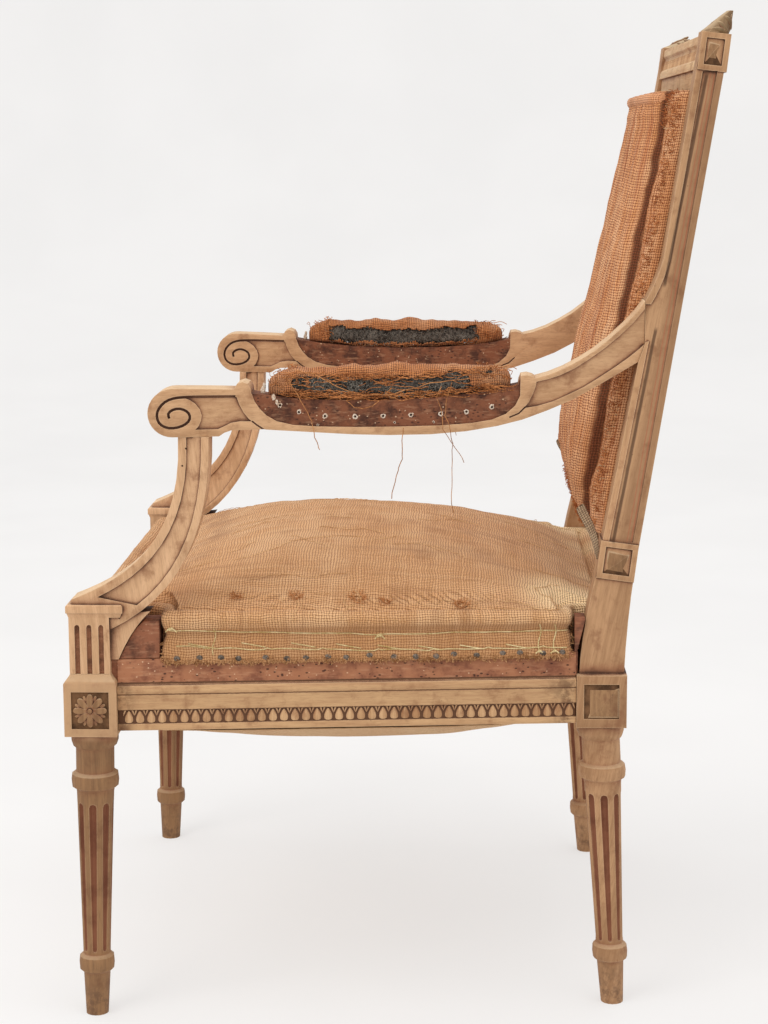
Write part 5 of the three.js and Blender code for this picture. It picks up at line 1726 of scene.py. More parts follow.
    def tufts(self, piece: Piece) -> None:
        """Worn spots near the roll: a dark gap in the weave ringed with loose ends.

        Args:
            piece: the stuffing.
        """
        patches, roots = [], []
        dice = random.Random(31)
        for x, d, size in self.worn_spots:
            ring = []
            for c, s in round_points(14):
                reach = size * dice.uniform(0.45, 1.0)
                ring.append(height_on(piece, x + reach * c * 0.7, d + reach * s, 0.25))
            centre = height_on(piece, x, d, -0.6)
            patches.append(from_faces("gap", [centre, *ring],
                                      [(0, 1 + k, 1 + (k + 1) % 14) for k in range(14)]))
            for _ in range(int(size * 9)):
                angle = dice.uniform(0, TURN)
                root = height_on(piece, x + size * math.cos(angle) * dice.uniform(0.3, 1.0),
                                 d + size * math.sin(angle) * dice.uniform(0.3, 1.1), 0.2)
                roots.append((root, Vector((math.cos(angle) * 0.6, math.sin(angle) * 0.6, 0.5))))
        gaps = joined("seat_worn_gaps", patches)
        ride(dressed(gaps, Plain("shadowed burlap", "8a5b36", "5a3820", 700).material()), "burlap")
        ends = frayed("seat_worn_ends", roots, (2.5, 7.5), 0.3, 0.8, 8)
        ride(dressed(ends, Plain("worn burlap ends", "d79f6c", "a86a3c", 500).material()), "burlap")


@dataclass
class BackStuffing:
    """The back: rust burlap over the stuffing, folded deeply beside each stile and rolled at the top."""

    floor: float = 483.6
    top: float = 921.8
    thickness: float = 36.0
    die_top: float = 349.0
    row_count: int = 92
    crease_shadow_shares: tuple[float, ...] = (-0.825, -0.808, 0.808, 0.825)
    levels: tuple[Pair, ...] = (
        (0.0, 0.37), (0.065, 0.79), (0.104, 1.0), (0.19, 1.05), (0.41, 1.05), (0.5, 0.95),
        (0.64, 0.9), (0.75, 0.82), (0.88, 0.79), (0.935, 0.79), (0.955, 0.88), (0.985, 0.9), (1.0, 0.72),
    )
    section: tuple[Pair, ...] = (
        (0.0, 1.04), (0.35, 1.02), (0.7, 1.0), (0.755, 0.94), (0.785, 0.8), (0.805, 0.55), (0.82, 0.2),
        (0.84, 0.14), (0.858, 0.36), (0.88, 0.47), (0.92, 0.45), (0.96, 0.36), (1.0, 0.06),
    )

    def half(self, z: float) -> float:
        """Half the clear width between the stiles."""
        return stile_axis(z) - 16.7

    def front(self, u: float, z: float) -> float:
        """Depth of the front at a share of the half width and a height.

        Args:
            u: the share of the half width, -1 to 1.
            z: the height.

        Returns:
            The depth.
        """
        share = (z - self.floor) / (self.top - self.floor)
        stile = SEAT_BACK - 25.2 + STILE_LEAN * (z - self.die_top)
        fullness = along_table(self.levels, share)
        return stile - self.thickness * fullness * along_table(self.section, abs(u))

    def rear(self, z: float) -> float:
        """Depth of the rear face, just before the webs."""
        return lerp(513, 594, (z - 470.6) / (922 - 470.6)) - 5.4

    def lap(self, u: float) -> float:
        """How far the edges of the cloth lap back beside the webs."""
        return 6.5 * smooth(0.74, 0.9, abs(u))

    def build(self) -> None:
        """Builds the stuffing, its stitching and its torn edges."""
        shares = [math.copysign(1 - (1 - abs(u)) ** 1.35, u) for u in (k / 60 for k in range(-60, 61))]
        rows = []
        for r in range(self.row_count + 1):
            z = lerp(self.floor, self.top, r / self.row_count)
            half, rear = self.half(z), self.rear(z)
            row = [place(u * half, min(self.front(u, z), rear - 1.0), z) for u in shares]
            rows.append(row + [place(u * half * 0.995, rear + self.lap(u), z) for u in reversed(shares[::4])])
        arc = [0.0]
        middle_row = rows[self.row_count // 2]
        for a, b in zip(middle_row, middle_row[1:] + middle_row[:1]):
            arc.append(arc[-1] + (b - a).length)
        # Where the dark lines of painted crease shadow lie along the cloth.
        folds = [arc[min(range(len(shares)), key=lambda k: abs(shares[k] - u))] for u in self.crease_shadow_shares]
        piece = outward(woven_skin("back_stuffing", rows, True,
                                   lambda strip, row, column: (arc[column], rows[row][0].z)))
        half_width = self.half(700) * 0.79 * MM
        swollen(piece, lambda at: abs(at.x) < half_width and self.is_front(at) and 0.51 < at.z < 0.9, 3.0)
        capped(subdivided(piece))
        self.crumple(piece)
        dressed(smoothed(piece), Burlap(
            "back burlap", "da9a68", "c08250", "84492a", "ebbb8e", fade=0.5, pitch=2.7, slack=0.9,
            stain="ad6238", streaks=0.6, creases=tuple(folds)).material())
        ride(piece, "rust_burlap", "back_pad")
        self.roll()
        self.stitches(piece)
        self.fringe(piece)

    def is_front(self, at: Vector) -> bool:
        """Whether a point belongs to the front face."""
        return depth_of(at) < self.rear(at.z / MM) - 12

    def crumple(self, piece: Piece) -> None:
        """Upright folds and soft lumps in the front, and a ragged foot.

        Args:
            piece: the stuffing.
        """
        for vertex in piece.data.vertices:
            at = vertex.co
            if not self.is_front(at):
                continue
            z = at.z / MM
            u = abs(at.x / MM) / self.half(z)
            drift = 4 * ripple(at.x * 9, at.z * 5, 3)
            ridge = math.sin(at.x / MM * 0.3 + drift * 1.5) + 0.6 * math.sin(at.x / MM * 0.71 + drift * 3)
            fold = ridge * 1.3 if u < 0.77 else 0.0
            lump = noise.noise(at * 26) * 2.4 + noise.noise(at * 70) * 0.8
            strip = ripple(at.x * 40, at.z * 22, 8) * 1.6 if u > 0.86 else 0.0
            at.y += (fold + lump * 0.6 + strip) * (1.0 if z > 505 else 0.4) * MM
            if 0.74 < u < 0.97:
                edge = 1 - smooth(0.93, 0.965, u)
                folds = ripple(at.y * 75, at.z * 9, 2) * 2.4
                folds += ripple(at.y * 32, at.z * 26, 6) * 2.2
                at.x -= math.copysign(abs(folds) * (smooth(0.74, 0.79, u) * edge) * MM, at.x)
                ridge = ripple(0, at.z * 13, 4 + math.copysign(1, at.x)) * 5.5
                at.y += ridge * smooth(0.835, 0.87, u) * edge * MM
            if 0.72 < u < 0.9:
                swing = ripple(0, at.z * 14, 1) * 3.6 * smooth(0.72, 0.79, u)
                at.x += math.copysign(swing * (1 - smooth(0.86, 0.9, u)) * MM, at.x)

    def surface(self, piece: Piece, x: float, z: float, lift: float = 0.5) -> Vector:
        """The place on the front of the stuffing at x and z, lifted a little.

        Args:
            piece: the stuffing.
            x: the x to look at.
            z: the height to look at.
            lift: how far off the cloth it lies.

        Returns:
            The place.
        """
        hit, spot, normal = front_face(piece, x, z, 300)
        return (spot + normal * lift * MM) if hit else place(x, self.front(0.9, z), z)

    def roll(self) -> None:
        """The folded top lip of the burlap."""
        rows = []
        limit = 0.8 * self.half(918)
        for k in range(61):
            x = lerp(-limit, limit, k / 60)
            d = self.front(x / self.half(915), 908) - 1.0
            waver = ripple(x * 0.03, 2, 1)
            rows.append([place(x, d + 4.2 + (5.2 + waver) * c - 0.8, 914 + (6.3 + waver) * s)
                         for c, s in round_points(14)])
        lip = woven_skin("back_top_lip", rows, True,
                         lambda strip, row, column: (row * 0.006, column * 0.0026))
        smoothed(subdivided(capped(lip)))
        dressed(lip, Burlap("back lip burlap", "e0a377", "cc8a58", "9a5c36", "e6b48c",
                            fade=0.5, pitch=2.3).material())
        ride(lip, "rust_burlap")

    def stitches(self, piece: Piece) -> None:
        """The sewn lines along both side strips.

        Args:
            piece: the stuffing.
        """
        paths = []
        for sign in (1, -1):
            for u, wave in ((0.9, 0.006), (0.935, 0.004)):
                path = []
                for k in range(120):
                    z = lerp(512, 900, k / 119)
                    share = u + wave * ripple(k * 0.13, u * 40, sign)
                    path.append(self.surface(piece, sign * share * self.half(z), z,
                                             0.35 + 0.35 * math.sin(k * 1.9)))
                paths.append(path)
            paths.append([self.surface(piece, sign * u * self.half(520), 521 + 3 * math.sin(u * 60), 0.9)
                          for u in (0.8, 0.83, 0.86, 0.89, 0.92, 0.95)])
        line = threads("back_stitches", paths, 0.4)
        ride(dressed(line, Plain("rust thread", "d79a6a", "9a5c34", 500).material()), "rust_burlap")

    def fringe(self, piece: Piece) -> None:
        """Loose ends along the stiles, at the foot and round the torn top corners.

        Args:
            piece: the stuffing.
        """
        dice = random.Random(61)
        rust, pale = [], []

        def root(share: Callable[[], float], heights: Pair) -> Vector:
            """A place on the front, its height drawn before its share of the half width."""
            z = dice.uniform(*heights)
            return self.surface(piece, share() * self.half(z), z, 0.1)

        for sign in (1, -1):
            for _ in range(520):
                at = root(lambda: sign * dice.uniform(0.955, 0.995), (505, 905))
                rust.append((at, Vector((sign * 0.4, -0.8, dice.uniform(-0.3, 0.3)))))
            for kept, count, shares, heights, way in (
                    (rust, 170, (0.8, 0.99), (886, 921), (sign * 0.3, -0.8, 0.4)),
                    (pale, 26, (0.94, 0.99), (505, 640), (sign * 0.2, -0.9, 0)),
                    (pale, 26, (0.82, 0.96), (880, 915), (sign * 0.2, -0.9, 0.2))):
                kept += [(root(lambda: sign * dice.uniform(*shares), heights), Vector(way))
                         for _ in range(count)]
        for _ in range(700):
            u = dice.uniform(-0.97, 0.97)
            rust.append((root(lambda: u, (485, 500)), Vector((0, -0.5, -0.9))))
        ends = frayed("back_loose_ends", rust, (2.0, 6.5), 0.34, 0.8, 62)
        ride(dressed(ends, Plain("rust burlap ends", "d08c58", "94522c", 500).material()), "rust_burlap")
        bits = frayed("back_pale_ends", pale, (1.5, 4.0), 0.34, 0.9, 63)
        ride(dressed(bits, Plain("pale cotton ends", "e2c9a2", "b98d60", 500).material()), "rust_burlap")


@dataclass
class ArmPads:
    """Torn arm pads: curly horsehair under what is left of the rust burlap."""

    first: float = 179.0
    last: float = 412.5
    high: float = 657.0
    half_width: float = 13.6
    bed: list[Pair] = field(default_factory=list)
    long_lines: tuple[tuple[Point, ...], ...] = (
        ((304.5, 196, 652), (306.5, 207, 635), (308, 214, 622), (308.5, 221, 609), (306, 223.6, 592),
         (305, 228.3, 580.2)),
        ((300, 346, 641), (296, 341, 630), (291, 346, 613), (289, 347, 598), (287, 356, 584),
         (287, 367.7, 565)),
        ((300, 356, 645), (297, 352, 632), (293, 349, 612), (290, 354, 599), (288.6, 357, 584),
         (288.6, 356, 556), (288.2, 358, 515)),
        ((294, 309, 600), (296.5, 308, 592), (296.5, 308, 570), (297, 304, 559), (298, 297.5, 531)),
        ((299, 205, 657), (303, 222, 654), (307, 232, 649), (307, 250, 640), (307, 275, 633),
         (304, 300, 634), (302, 325, 641), (298, 350, 646), (294, 372, 648)),
        ((309, 255, 628), (309, 262, 622), (308, 270, 620.5), (307, 280, 623), (305, 286, 628)),
        ((300, 310, 634), (301, 300, 630), (302, 292, 634), (301, 298, 640)),
        ((306, 186, 646), (309, 192, 640), (309.5, 198, 646), (308, 204, 652)),
    )

    def foot(self, d: float) -> float:
        """Height of the arm's bed at a depth, where the pad rests.

        Args:
            d: the depth.

        Returns:
            The height.
        """
        if not self.bed:
            arm = bpy.data.objects["arm_left_timber"]
            for at in range(176, 426, 5):
                tops = []
                for off in (-10, -5, 0, 5, 10):
                    hit, spot, _, _ = arm.ray_cast(place(arm_axis(at) + off, at, 700), DOWN)
                    tops.append(spot.z / MM if hit else 0.0)
                self.bed.append((at, max(tops) + 0.4))
        return max(626.0, min(636.0, along_table(self.bed, d)))

    def depth(self, share: float) -> float:
        """The depth at a share of the pad's length."""
        return lerp(self.first, self.last, share)

    def build(self) -> None:
        """Builds the left pad and mirrors it."""
        made = [(self.hair_core(), "linen"), (self.cover(), "rust_burlap"),
                (self.hair(), "linen"), (self.rust_threads(), "rust_burlap"),
                (self.long_threads(), "rust_burlap")]
        for k, (piece, slot) in enumerate(made):
            name = piece.name
            piece.name = f"{name}_left"
            other = linked(f"{name}_right", mirrored(piece.data.copy()))
            for one, side in ((piece, Side.LEFT), (other, Side.RIGHT)):
                ride(one, slot, *([f"arm_pad_{side.word}"] if k == 0 else []))

    def ring(self, share: float, swell: float, count: int) -> list[Vector]:
        """A cross section of the pad, of a given fullness.

        Args:
            share: the share of the pad's length.
            swell: the fullness, 1 at the cloth.
            count: how many points it has.

        Returns:
            The places round the section.
        """
        d = self.depth(share)
        ends = min(1.0, (1 - (2 * share - 1) ** 8)) ** 0.5
        foot = self.foot(d)
        waver = 3.2 * ripple(d * 0.028, 7, 1) + 1.4 * ripple(d * 0.09, 3, 1)
        top = lerp(foot + 9, self.high + 1.5 * math.sin(math.pi * share) + waver, max(0.05, ends))
        middle, reach = (foot + top) / 2, (top - foot) / 2
        points = []
        for c, s in round_points(count):
            x = math.copysign(abs(c) ** 0.75, c) * self.half_width * (0.35 + 0.65 * ends)
            z = math.copysign(abs(s) ** 0.85, s) * reach
            lump = 1 + 0.16 * ripple(d * 0.05, x * 0.1, z * 0.1)
            z = max(foot + 0.3 - middle, z * lump * swell)
            points.append(place(arm_axis(d) + x * lump * swell, d, middle + z))
        return points

    def hair_core(self) -> Piece:
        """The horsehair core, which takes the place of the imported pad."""
        core = skin("arm_pad_core", [self.ring(lerp(0.015, 0.985, k / 70), 0.86, 28) for k in range(71)])
        swollen(core, lambda at: at.z > 0.636, 1.5)
        subdivided(core)
        for vertex in core.data.vertices:
            vertex.co += Vector((noise.noise(vertex.co * 190), 0,
                                 noise.noise(vertex.co * 210 + Vector((3, 3, 3))))) * 0.9 * MM
        return dressed(smoothed(core), Plain("packed horsehair", "6e675f", "26211e", 420).material())

    def is_torn(self, at: Vector) -> bool:
        """Whether the burlap is gone at a place: a ragged window in the sides and slits below it.

        Args:
            at: the place.

        Returns:
            Whether the cloth is gone there.
        """
        d, z = depth_of(at), at.z / MM
        share = (d - self.first) / (self.last - self.first)
        rag = 1.7 * ripple(d * 0.09, at.x * 50, at.z * 90)
        fray = 1.6 * ripple(d * 0.6, at.x * 90, at.z * 300)
        foot = self.foot(d)
        upper = foot + 21.5 + 2.2 * rag + fray
        lower = foot + 5.2 + 2.4 * rag + 1.6 * fray
        slit = abs(z - foot - 2.4 - rag) < 0.7 and fray > -0.1
        return 0.115 + 0.05 * rag < share < 0.86 + 0.06 * rag and (lower < z < upper or slit)

    def cover(self) -> Piece:
        """What is left of the burlap: the top, both ends and a torn strip at the foot."""
        rows = [self.ring(lerp(0.0, 1.0, k / 150), 1.0, 76) for k in range(151)]
        piece = woven_skin("arm_pad_cover", rows, True,
                           lambda strip, row, column: (row * 0.00157, column * 0.00118))
        dressed(piece, Burlap("arm pad burlap", "c4804e", "a2633a", "54301c", "dba67c",
                              slack=1.3, stain="7a4526").material())
        kept = bmesh.new()
        kept.from_mesh(piece.data)
        torn = [face for face in kept.faces if self.is_torn(face.calc_center_median())]
        bmesh.ops.delete(kept, geom=torn, context="FACES")
        kept.to_mesh(piece.data)
        kept.free()
        thickened(piece, 0.9, -1)
        for vertex in piece.data.vertices:
            vertex.co.x += noise.noise(vertex.co * 160) * 1.1 * MM
            vertex.co.z += noise.noise(vertex.co * 120 + Vector((7, 0, 0))) * 0.9 * MM
        return smoothed(piece)

    def hair(self) -> Piece:
        """Curls of horsehair that stand out of the torn side."""
        dice = random.Random(77)
        paths = []
        for _ in range(620):
            d = self.depth(dice.uniform(0.1, 0.87))
            way = dice.choice((1, 1, 1, -1))
            at = place(arm_axis(d) + way * (self.half_width * 0.9 + dice.uniform(-1.4, 0.5)), d,
                       self.foot(d) + dice.uniform(4, 21))
            size = dice.uniform(1.6, 4.6) * MM
            turn = Matrix.Rotation(dice.uniform(0, 6.3), 3, Vector((way, dice.uniform(-0.5, 0.5),
                                                                    dice.uniform(-0.5, 0.5))))
            sweep = dice.uniform(3.0, 6.5)
            paths.append([at + turn @ Vector((math.sin(a * 2) * 0.3, math.cos(a), math.sin(a))) * size
                          for a in (k / 8 * sweep for k in range(9))])
        return dressed(threads("arm_pad_hair", paths, 0.17),
                       Plain("horsehair", "a39c90", "3a3430", 700, 0.6).material())

    def rust_threads(self) -> Piece:
        """Shredded burlap along the torn edges."""
        dice = random.Random(81)
        paths = []
        for k in range(260):
            d = self.depth(dice.uniform(0.04, 0.93))
            rises = [dice.uniform(*ends) for ends in ((0.3, 6), (0.3, 6), (0.3, 22), (19, 25))]
            z = self.foot(d) + dice.choice(rises)
            run = dice.uniform(5, 30)
            x = arm_axis(d) + self.half_width + dice.uniform(-0.6, 1.8)
            end = place(x - ARM_TAPER * run + dice.uniform(-1, 1.5), d + run, z + dice.uniform(-3, 2.5))
            paths.append(wander(place(x, d, z), end, 0.12, 7, 500 + k))
        for k in range(150):
            share = dice.choice((dice.uniform(0.0, 0.12), dice.uniform(0.86, 1.0)))
            root = self.ring(share, 1.0, 40)[dice.randrange(0, 24)]
            away = Vector([dice.uniform(-5, 5) * MM for _ in range(3)])
            paths.append(wander(root, root + away, 0.5, 5, 800 + k))
        return dressed(threads("arm_pad_rust_threads", paths, 0.36),
                       Plain("arm pad threads", "cf8a55", "7d4624", 500).material())

    def long_threads(self) -> Piece:
        """The long threads that lie over the pad and hang below the arm."""
        paths = []
        for k, line in enumerate(self.long_lines):
            points = [place(*p) for p in line]
            path = []
            for j, (a, b) in enumerate(zip(points, points[1:])):
                path += wander(a, b, 0.045, 5, 900 + 10 * k + j)[:-1]
            paths.append(path + points[-1:])
        return dressed(threads("arm_pad_long_threads", paths, 0.42),
                       Plain("long rust thread", "c48a58", "85532f", 500).material())


@dataclass
class Underside:
    """What fills the frame below and behind the stuffing: webs, springs and the belly cloth."""

    strap_line: tuple[tuple[float, float, float, float], ...] = (
        (482.0, 517.0, 250.0, 5.0), (486.0, 508.0, 250.2, 5.0), (492.0, 498.0, 249.8, 4.6),
        (497.0, 486.0, 248.8, 3.8), (500.0, 474.0, 247.6, 3.0), (501.5, 462.0, 246.4, 2.4),
    )
    belly_front: float = -3.5
    belly_back: float = 507.5
    belly_count: int = 64
    belly_limits: tuple[Pair, ...] = (
        (-4, 262), (27, 262), (61, 284), (441, 252), (475, 228), (508, 228),
    )

    def build(self) -> None:
        """Builds the webs, the springs and the cloth."""
        webs = [f"{kind}_web_{k}" for kind, count in (("seat_cross", 3), ("seat_long", 3),
                                                      ("back_upright", 3), ("back_cross", 2))
                for k in range(1, count + 1)]
        springs = [f"seat_spring_{k}" for k in range(1, 6)]
        jute = Webbing("jute webbing").material()
        steel = Plain("coppered steel", "a58a6c", "5a4a3c", 300, 0.45, 0.8).material()
        for nodes, material, slot, crease in ((webs, jute, "webbing", 30),
                                              (springs, steel, "spring_steel", 60)):
            for node in nodes:
                ride(dressed(self.refined(node, crease), material), slot, node)
        self.belly_cloth()
        self.straps()

    def straps(self) -> None:
        """The torn ends of the old back webs, which hang from the foot of the back to the dies."""
        for side in Side:
            rows = [[place(side.value * (x + 0.4 * w), d + half * w * 0.8, z + half * w * 0.6)
                     for w in (-1, -0.5, 0, 0.5, 1)] for d, z, x, half in self.strap_line]
            strap = woven_skin(f"back_strap_{side.word}", rows, False,
                               lambda strip, row, column: (column * 0.002, row * 0.01))
            smoothed(subdivided(thickened(strap, 1.2)))
            dressed(strap, Burlap(f"strap weave {side.word}", "b59878", "8e7358", "4f3c2c", "cdb494",
                                  pitch=2.0).material())
            ride(strap, "webbing")

    def refined(self, node: str, crease: float) -> Piece:
        """A rounded copy of a node, with its sharp edges kept where the crease angle is low.

        Args:
            node: the name of the node.
            crease: the angle of its smooth shading, in degrees.

        Returns:
            The copy.
        """
        piece = linked(f"{node}_made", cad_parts[node].data.copy())
        select_only(piece)
        bpy.ops.mesh.customdata_custom_splitnormals_clear()
        with editing(piece):
            bpy.ops.mesh.tris_convert_to_quads(face_threshold=math.radians(50),
                                               shape_threshold=math.radians(60))
            if crease < 50:
                bpy.ops.mesh.select_all(action="DESELECT")
                bpy.ops.mesh.select_mode(type="EDGE")
                bpy.ops.mesh.edges_select_sharp(sharpness=math.radians(60))
                bpy.ops.transform.edge_crease(value=0.9)
        return smoothed(subdivided(piece), crease)

    def belly_cloth(self) -> None:
        """The pale cloth that sags below the webs, in the space of its node."""
        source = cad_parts["bottom_cloth"]
        rows = []
        for r in range(self.belly_count + 1):
            d = lerp(self.belly_front, self.belly_back, r / self.belly_count)
            half = min(rail_half(d) - 17, along_table(self.belly_limits, d))
            if not 27 <= d <= 475:
                half = min(half, 262.0 if d < 27 else 229.0)
            row = []
            for k in range(self.belly_count + 1):
                x = lerp(-half, half, k / self.belly_count)
                wrinkle = 1.1 * ripple(x * 0.02, d * 0.035, 0.5)
                calm = min(1.0, (half - abs(x)) / 40, (d - self.belly_front) / 40,
                           (self.belly_back - d) / 40)
                row.append(self.under(source, x, d) + Vector((0, 0, (1.6 + wrinkle * max(0.0, calm)) * MM)))
            rows.append(row)
        piece = woven_skin("belly_cloth", rows, False,
                           lambda strip, row, column: (column * 0.0085, row * 0.0081))
        modified(piece, "SMOOTH", factor=0.5, iterations=6)
        smoothed(thickened(piece, 0.7))
        dressed(piece, Burlap("linen cloth", "e8c093", "d9ab7b", "b08458", "eecfa2",
                              pitch=0.8, fade=0.4, stain="b5855a").material())
        ride(piece, "linen", "bottom_cloth")

    def under(self, source: Piece, x: float, d: float) -> Vector:
        """The place on the underside of a node below x and d."""
        hit, spot, _, _ = source.ray_cast(place(x, d, 100), UP)
        return spot if hit else place(x, d, 291.0)


# Carving and small parts


def frame_at(at: Vector, out: Vector, up: Vector = UP) -> Matrix:
    """A place whose z points out and whose y points up, for a carved motif.

    Args:
        at: the place.
        out: the way out of the surface.
        up: the motif's upright.

    Returns:
        The matrix of the place.
    """
    out = out.normalized()
    across = up.cross(out).normalized()
    return Matrix.Translation(at) @ Matrix((across, out.cross(across), out)).transposed().to_4x4()


def relief(name: str, points: Sequence[Point], faces: Sequence[Sequence[int]]) -> Piece:
    """A rounded motif from points in millimetres, across, up and out."""
    return smoothed(subdivided(from_faces(name, [Vector(p) * MM for p in points], faces)))


@dataclass
class Carving:
    """The carved motifs: the leaf rows, rosettes, finial leaves and diamonds, and rough corners."""

    pitch: float = 10.9
    row_start: float = 36.9
    row_count: int = 41
    band_floor: float = 307.4
    pale: Beech = Beech("carved beech", Grain.UPRIGHT, pale="cfa77c", mid="ab8058", deep="855c3c")
    brown: Beech = Beech("carved brown beech", Grain.UPRIGHT, pale="a47d57", mid="7f5d3e",
                         deep="563b27", dirt=1.2)
    grey: Beech = Beech("finial leaf beech", Grain.UPRIGHT, pale="8c7453", mid="6b563c",
                        deep="4a3a28", dirt=1.2)
    leaf_body: tuple[Point, ...] = (
        (-3.6, 0.2, 0.3), (0, 0.3, 2.6), (3.6, 0.2, 0.3), (-4.1, 3.2, 0.5), (-0.3, 4.2, 3.0),
        (4.1, 3.2, 0.5), (-3.6, 6.6, 0.4), (-0.2, 7.6, 2.7), (3.6, 6.6, 0.4), (-1.9, 10.2, 0.4),
        (0, 10.6, 2.2), (1.9, 10.2, 0.4), (0, 13.4, 1.3),
    )
    half_dart: tuple[Point, ...] = (
        (2.0, 13.6, 0.3), (3.3, 13.4, 2.2), (4.5, 13.4, 0.5), (5.45, 6.4, 0.2), (5.45, 8.2, 2.3),
        (5.45, 10.0, 0.5),
    )
    corner_blocks: tuple[tuple[float, ...], ...] = (
        (270, 301.6, 18.6, 29.5, 345, 371), (228, 264.6, 469, 480.6, 345, 352),
        (228, 262.8, 469, 481.4, 351, 371.5),
    )
    lobe_lines: tuple[tuple[float, ...], ...] = (
        (622, 971, 600, 974.5, 2.4), (622.5, 972, 605, 980, 2.6), (623.5, 974, 612, 987, 2.6),
        (625, 976, 619, 992.5, 2.5), (626.5, 973, 626, 994, 1.9), (618, 971, 608, 973, 2.0),
    )
    ridge_line: tuple[Point, ...] = (
        (599, 974.5, 1.6), (603, 979, 2.4), (608, 984.5, 2.8), (613, 988.5, 2.5),
        (618, 991, 2.3), (622, 994.5, 2.0), (625.5, 997.5, 0.8),
    )

    def build(self) -> None:
        """Builds every motif."""
        pale, brown = self.pale.material(), self.brown.material()
        self.leaf_rows(pale)
        for side in Side:
            for k, (at, out) in enumerate((((315.2, 0.0), (side.value, 0, 0)), ((290, -25.2), (0, -1, 0)))):
                spot = place(at[0] * side.value, at[1], 322.2)
                self.rosette(f"rosette_{side.word}_{k}", frame_at(spot, Vector(out)), brown)
        grey = self.grey.material()
        for side, tall in ((Side.LEFT, 1.0), (Side.RIGHT, 0.72)):
            self.finial_leaves(side, tall, grey)
        self.crest_band(pale)
        dies = self.brown.material()
        for side in Side:
            self.diamonds(side, dies)
        for side in Side:
            self.fillers(side)

    def leaf(self) -> Piece:
        """One leaf of the row with half of the dart on each side of it."""
        faces = [*strips(4, 3, False), (9, 10, 12), (10, 11, 12)]
        points = list(self.leaf_body)
        for side in (1, -1):
            base = len(points)
            points += [(side * x, y, lift) for x, y, lift in self.half_dart]
            faces += [tuple(base + i for i in strip[::side]) for strip in ((0, 1, 4, 3), (1, 2, 5, 4))]
        return relief("leaf", points, faces)

    def leaf_row(self, name: str, spots: Iterable[Matrix], material: bpy.types.Material) -> None:
        """Copies the leaf to each place, as one piece.

        Args:
            name: the name of the row.
            spots: the place of each leaf.
            material: the finish.
        """
        ride(dressed(copies(name, self.leaf(), spots), material), "beech")

    def leaf_rows(self, material: bpy.types.Material) -> None:
        """The row of leaves and darts along the side rails and the front rail.

        Args:
            material: the finish.
        """
        middle = self.band_floor + 6.5
        for side in Side:
            rail = bpy.data.objects[f"side_rail_{side.word}_timber"]
            spots = []
            for k in range(self.row_count):
                at = side_spot(rail, side.value, self.row_start + self.pitch * k, middle, -0.3)
                at.z = self.band_floor * MM
                spots.append(frame_at(at, Vector((side.value, RAIL_TAPER, 0))))
            self.leaf_row(f"leaf_row_{side.word}", spots, material)
        rail = bpy.data.objects["front_rail_timber"]
        spots = []
        for k in range(-23, 24):
            hit, at, _ = front_face(rail, k * self.pitch, middle)
            if hit:
                at = Vector((at.x, at.y + 0.0003, self.band_floor * MM))
                spots.append(frame_at(at, Vector((0, -1, 0))))
        self.leaf_row("leaf_row_front", spots, material)

    def crest_band(self, material: bpy.types.Material) -> None:
        """A fine row of leaves along the front of the crest and of the lower back rail.

        Args:
            material: the finish.
        """
        for node, z, limit, size in (("crest_rail", 951.0, 196.0, 0.72),
                                     ("lower_back_rail", 457.0, 222.0, 0.62)):
            rail = bpy.data.objects[f"{node}_timber"]
            step = self.pitch * size
            ends = int(limit / step)
            met = (front_face(rail, k * step, z + 4, 300) for k in range(-ends, ends + 1))
            self.leaf_row(f"{node}_leaves", [
                frame_at(at - normal * 0.2 * MM, normal) @ Matrix.Translation((0, -4 * MM, 0))
                @ Matrix.Scale(size, 4) for hit, at, normal in met if hit and normal.y < -0.5], material)

    def petal(self, length: float, half: float, lift: float) -> Piece:
        """A petal along y, with a crease down its middle and raised edges.

        Args:
            length: its length.
            half: half its width.
            lift: the height of its edges.

        Returns:
            The petal.
        """
        points: list[Point] = []
        for along, wide, high in ((0.08, 0.25, 0.5), (0.35, 0.8, 0.95), (0.62, 1.0, 1.0), (0.85, 0.66, 0.8)):
            y, side, top = length * along, half * wide, lift * high
            points += [(-side, y, 0.1), (-half * wide * 0.82, y, top), (0, y, top * 0.55),
                       (half * wide * 0.82, y, top), (side, y, 0.1)]
        points.append((0, length, lift * 0.5))
        return relief("petal", points, [*strips(4, 5, False), *((15 + i, 16 + i, 20) for i in range(4))])

    def rosette(self, name: str, base: Matrix, material: bpy.types.Material) -> None:
        """Eight creased petals, eight narrow ones between them and a boss.

        Args:
            name: the name of the piece.
            base: its place.
            material: the finish.
        """
        low, high = (copies(kind, self.petal(*size),
                            [base @ Matrix.Rotation((k + off) * math.pi / 4, 4, "Z") for k in range(8)])
                     for kind, size, off in (("low_petals", (17.2, 2.6, 2.0), 0.5),
                                             ("high_petals", (17.8, 4.5, 3.6), 0)))
        select_only(high)
        bpy.ops.mesh.primitive_uv_sphere_add(segments=16, ring_count=10, radius=2.7 * MM)
        boss = active()
        boss.data.transform(base @ Matrix.Translation((0, 0, 2.1 * MM)) @ Matrix.Scale(0.75, 4, (0, 0, 1)))
        ride(smoothed(dressed(joined(name, [low, high, boss]), material)), "beech")

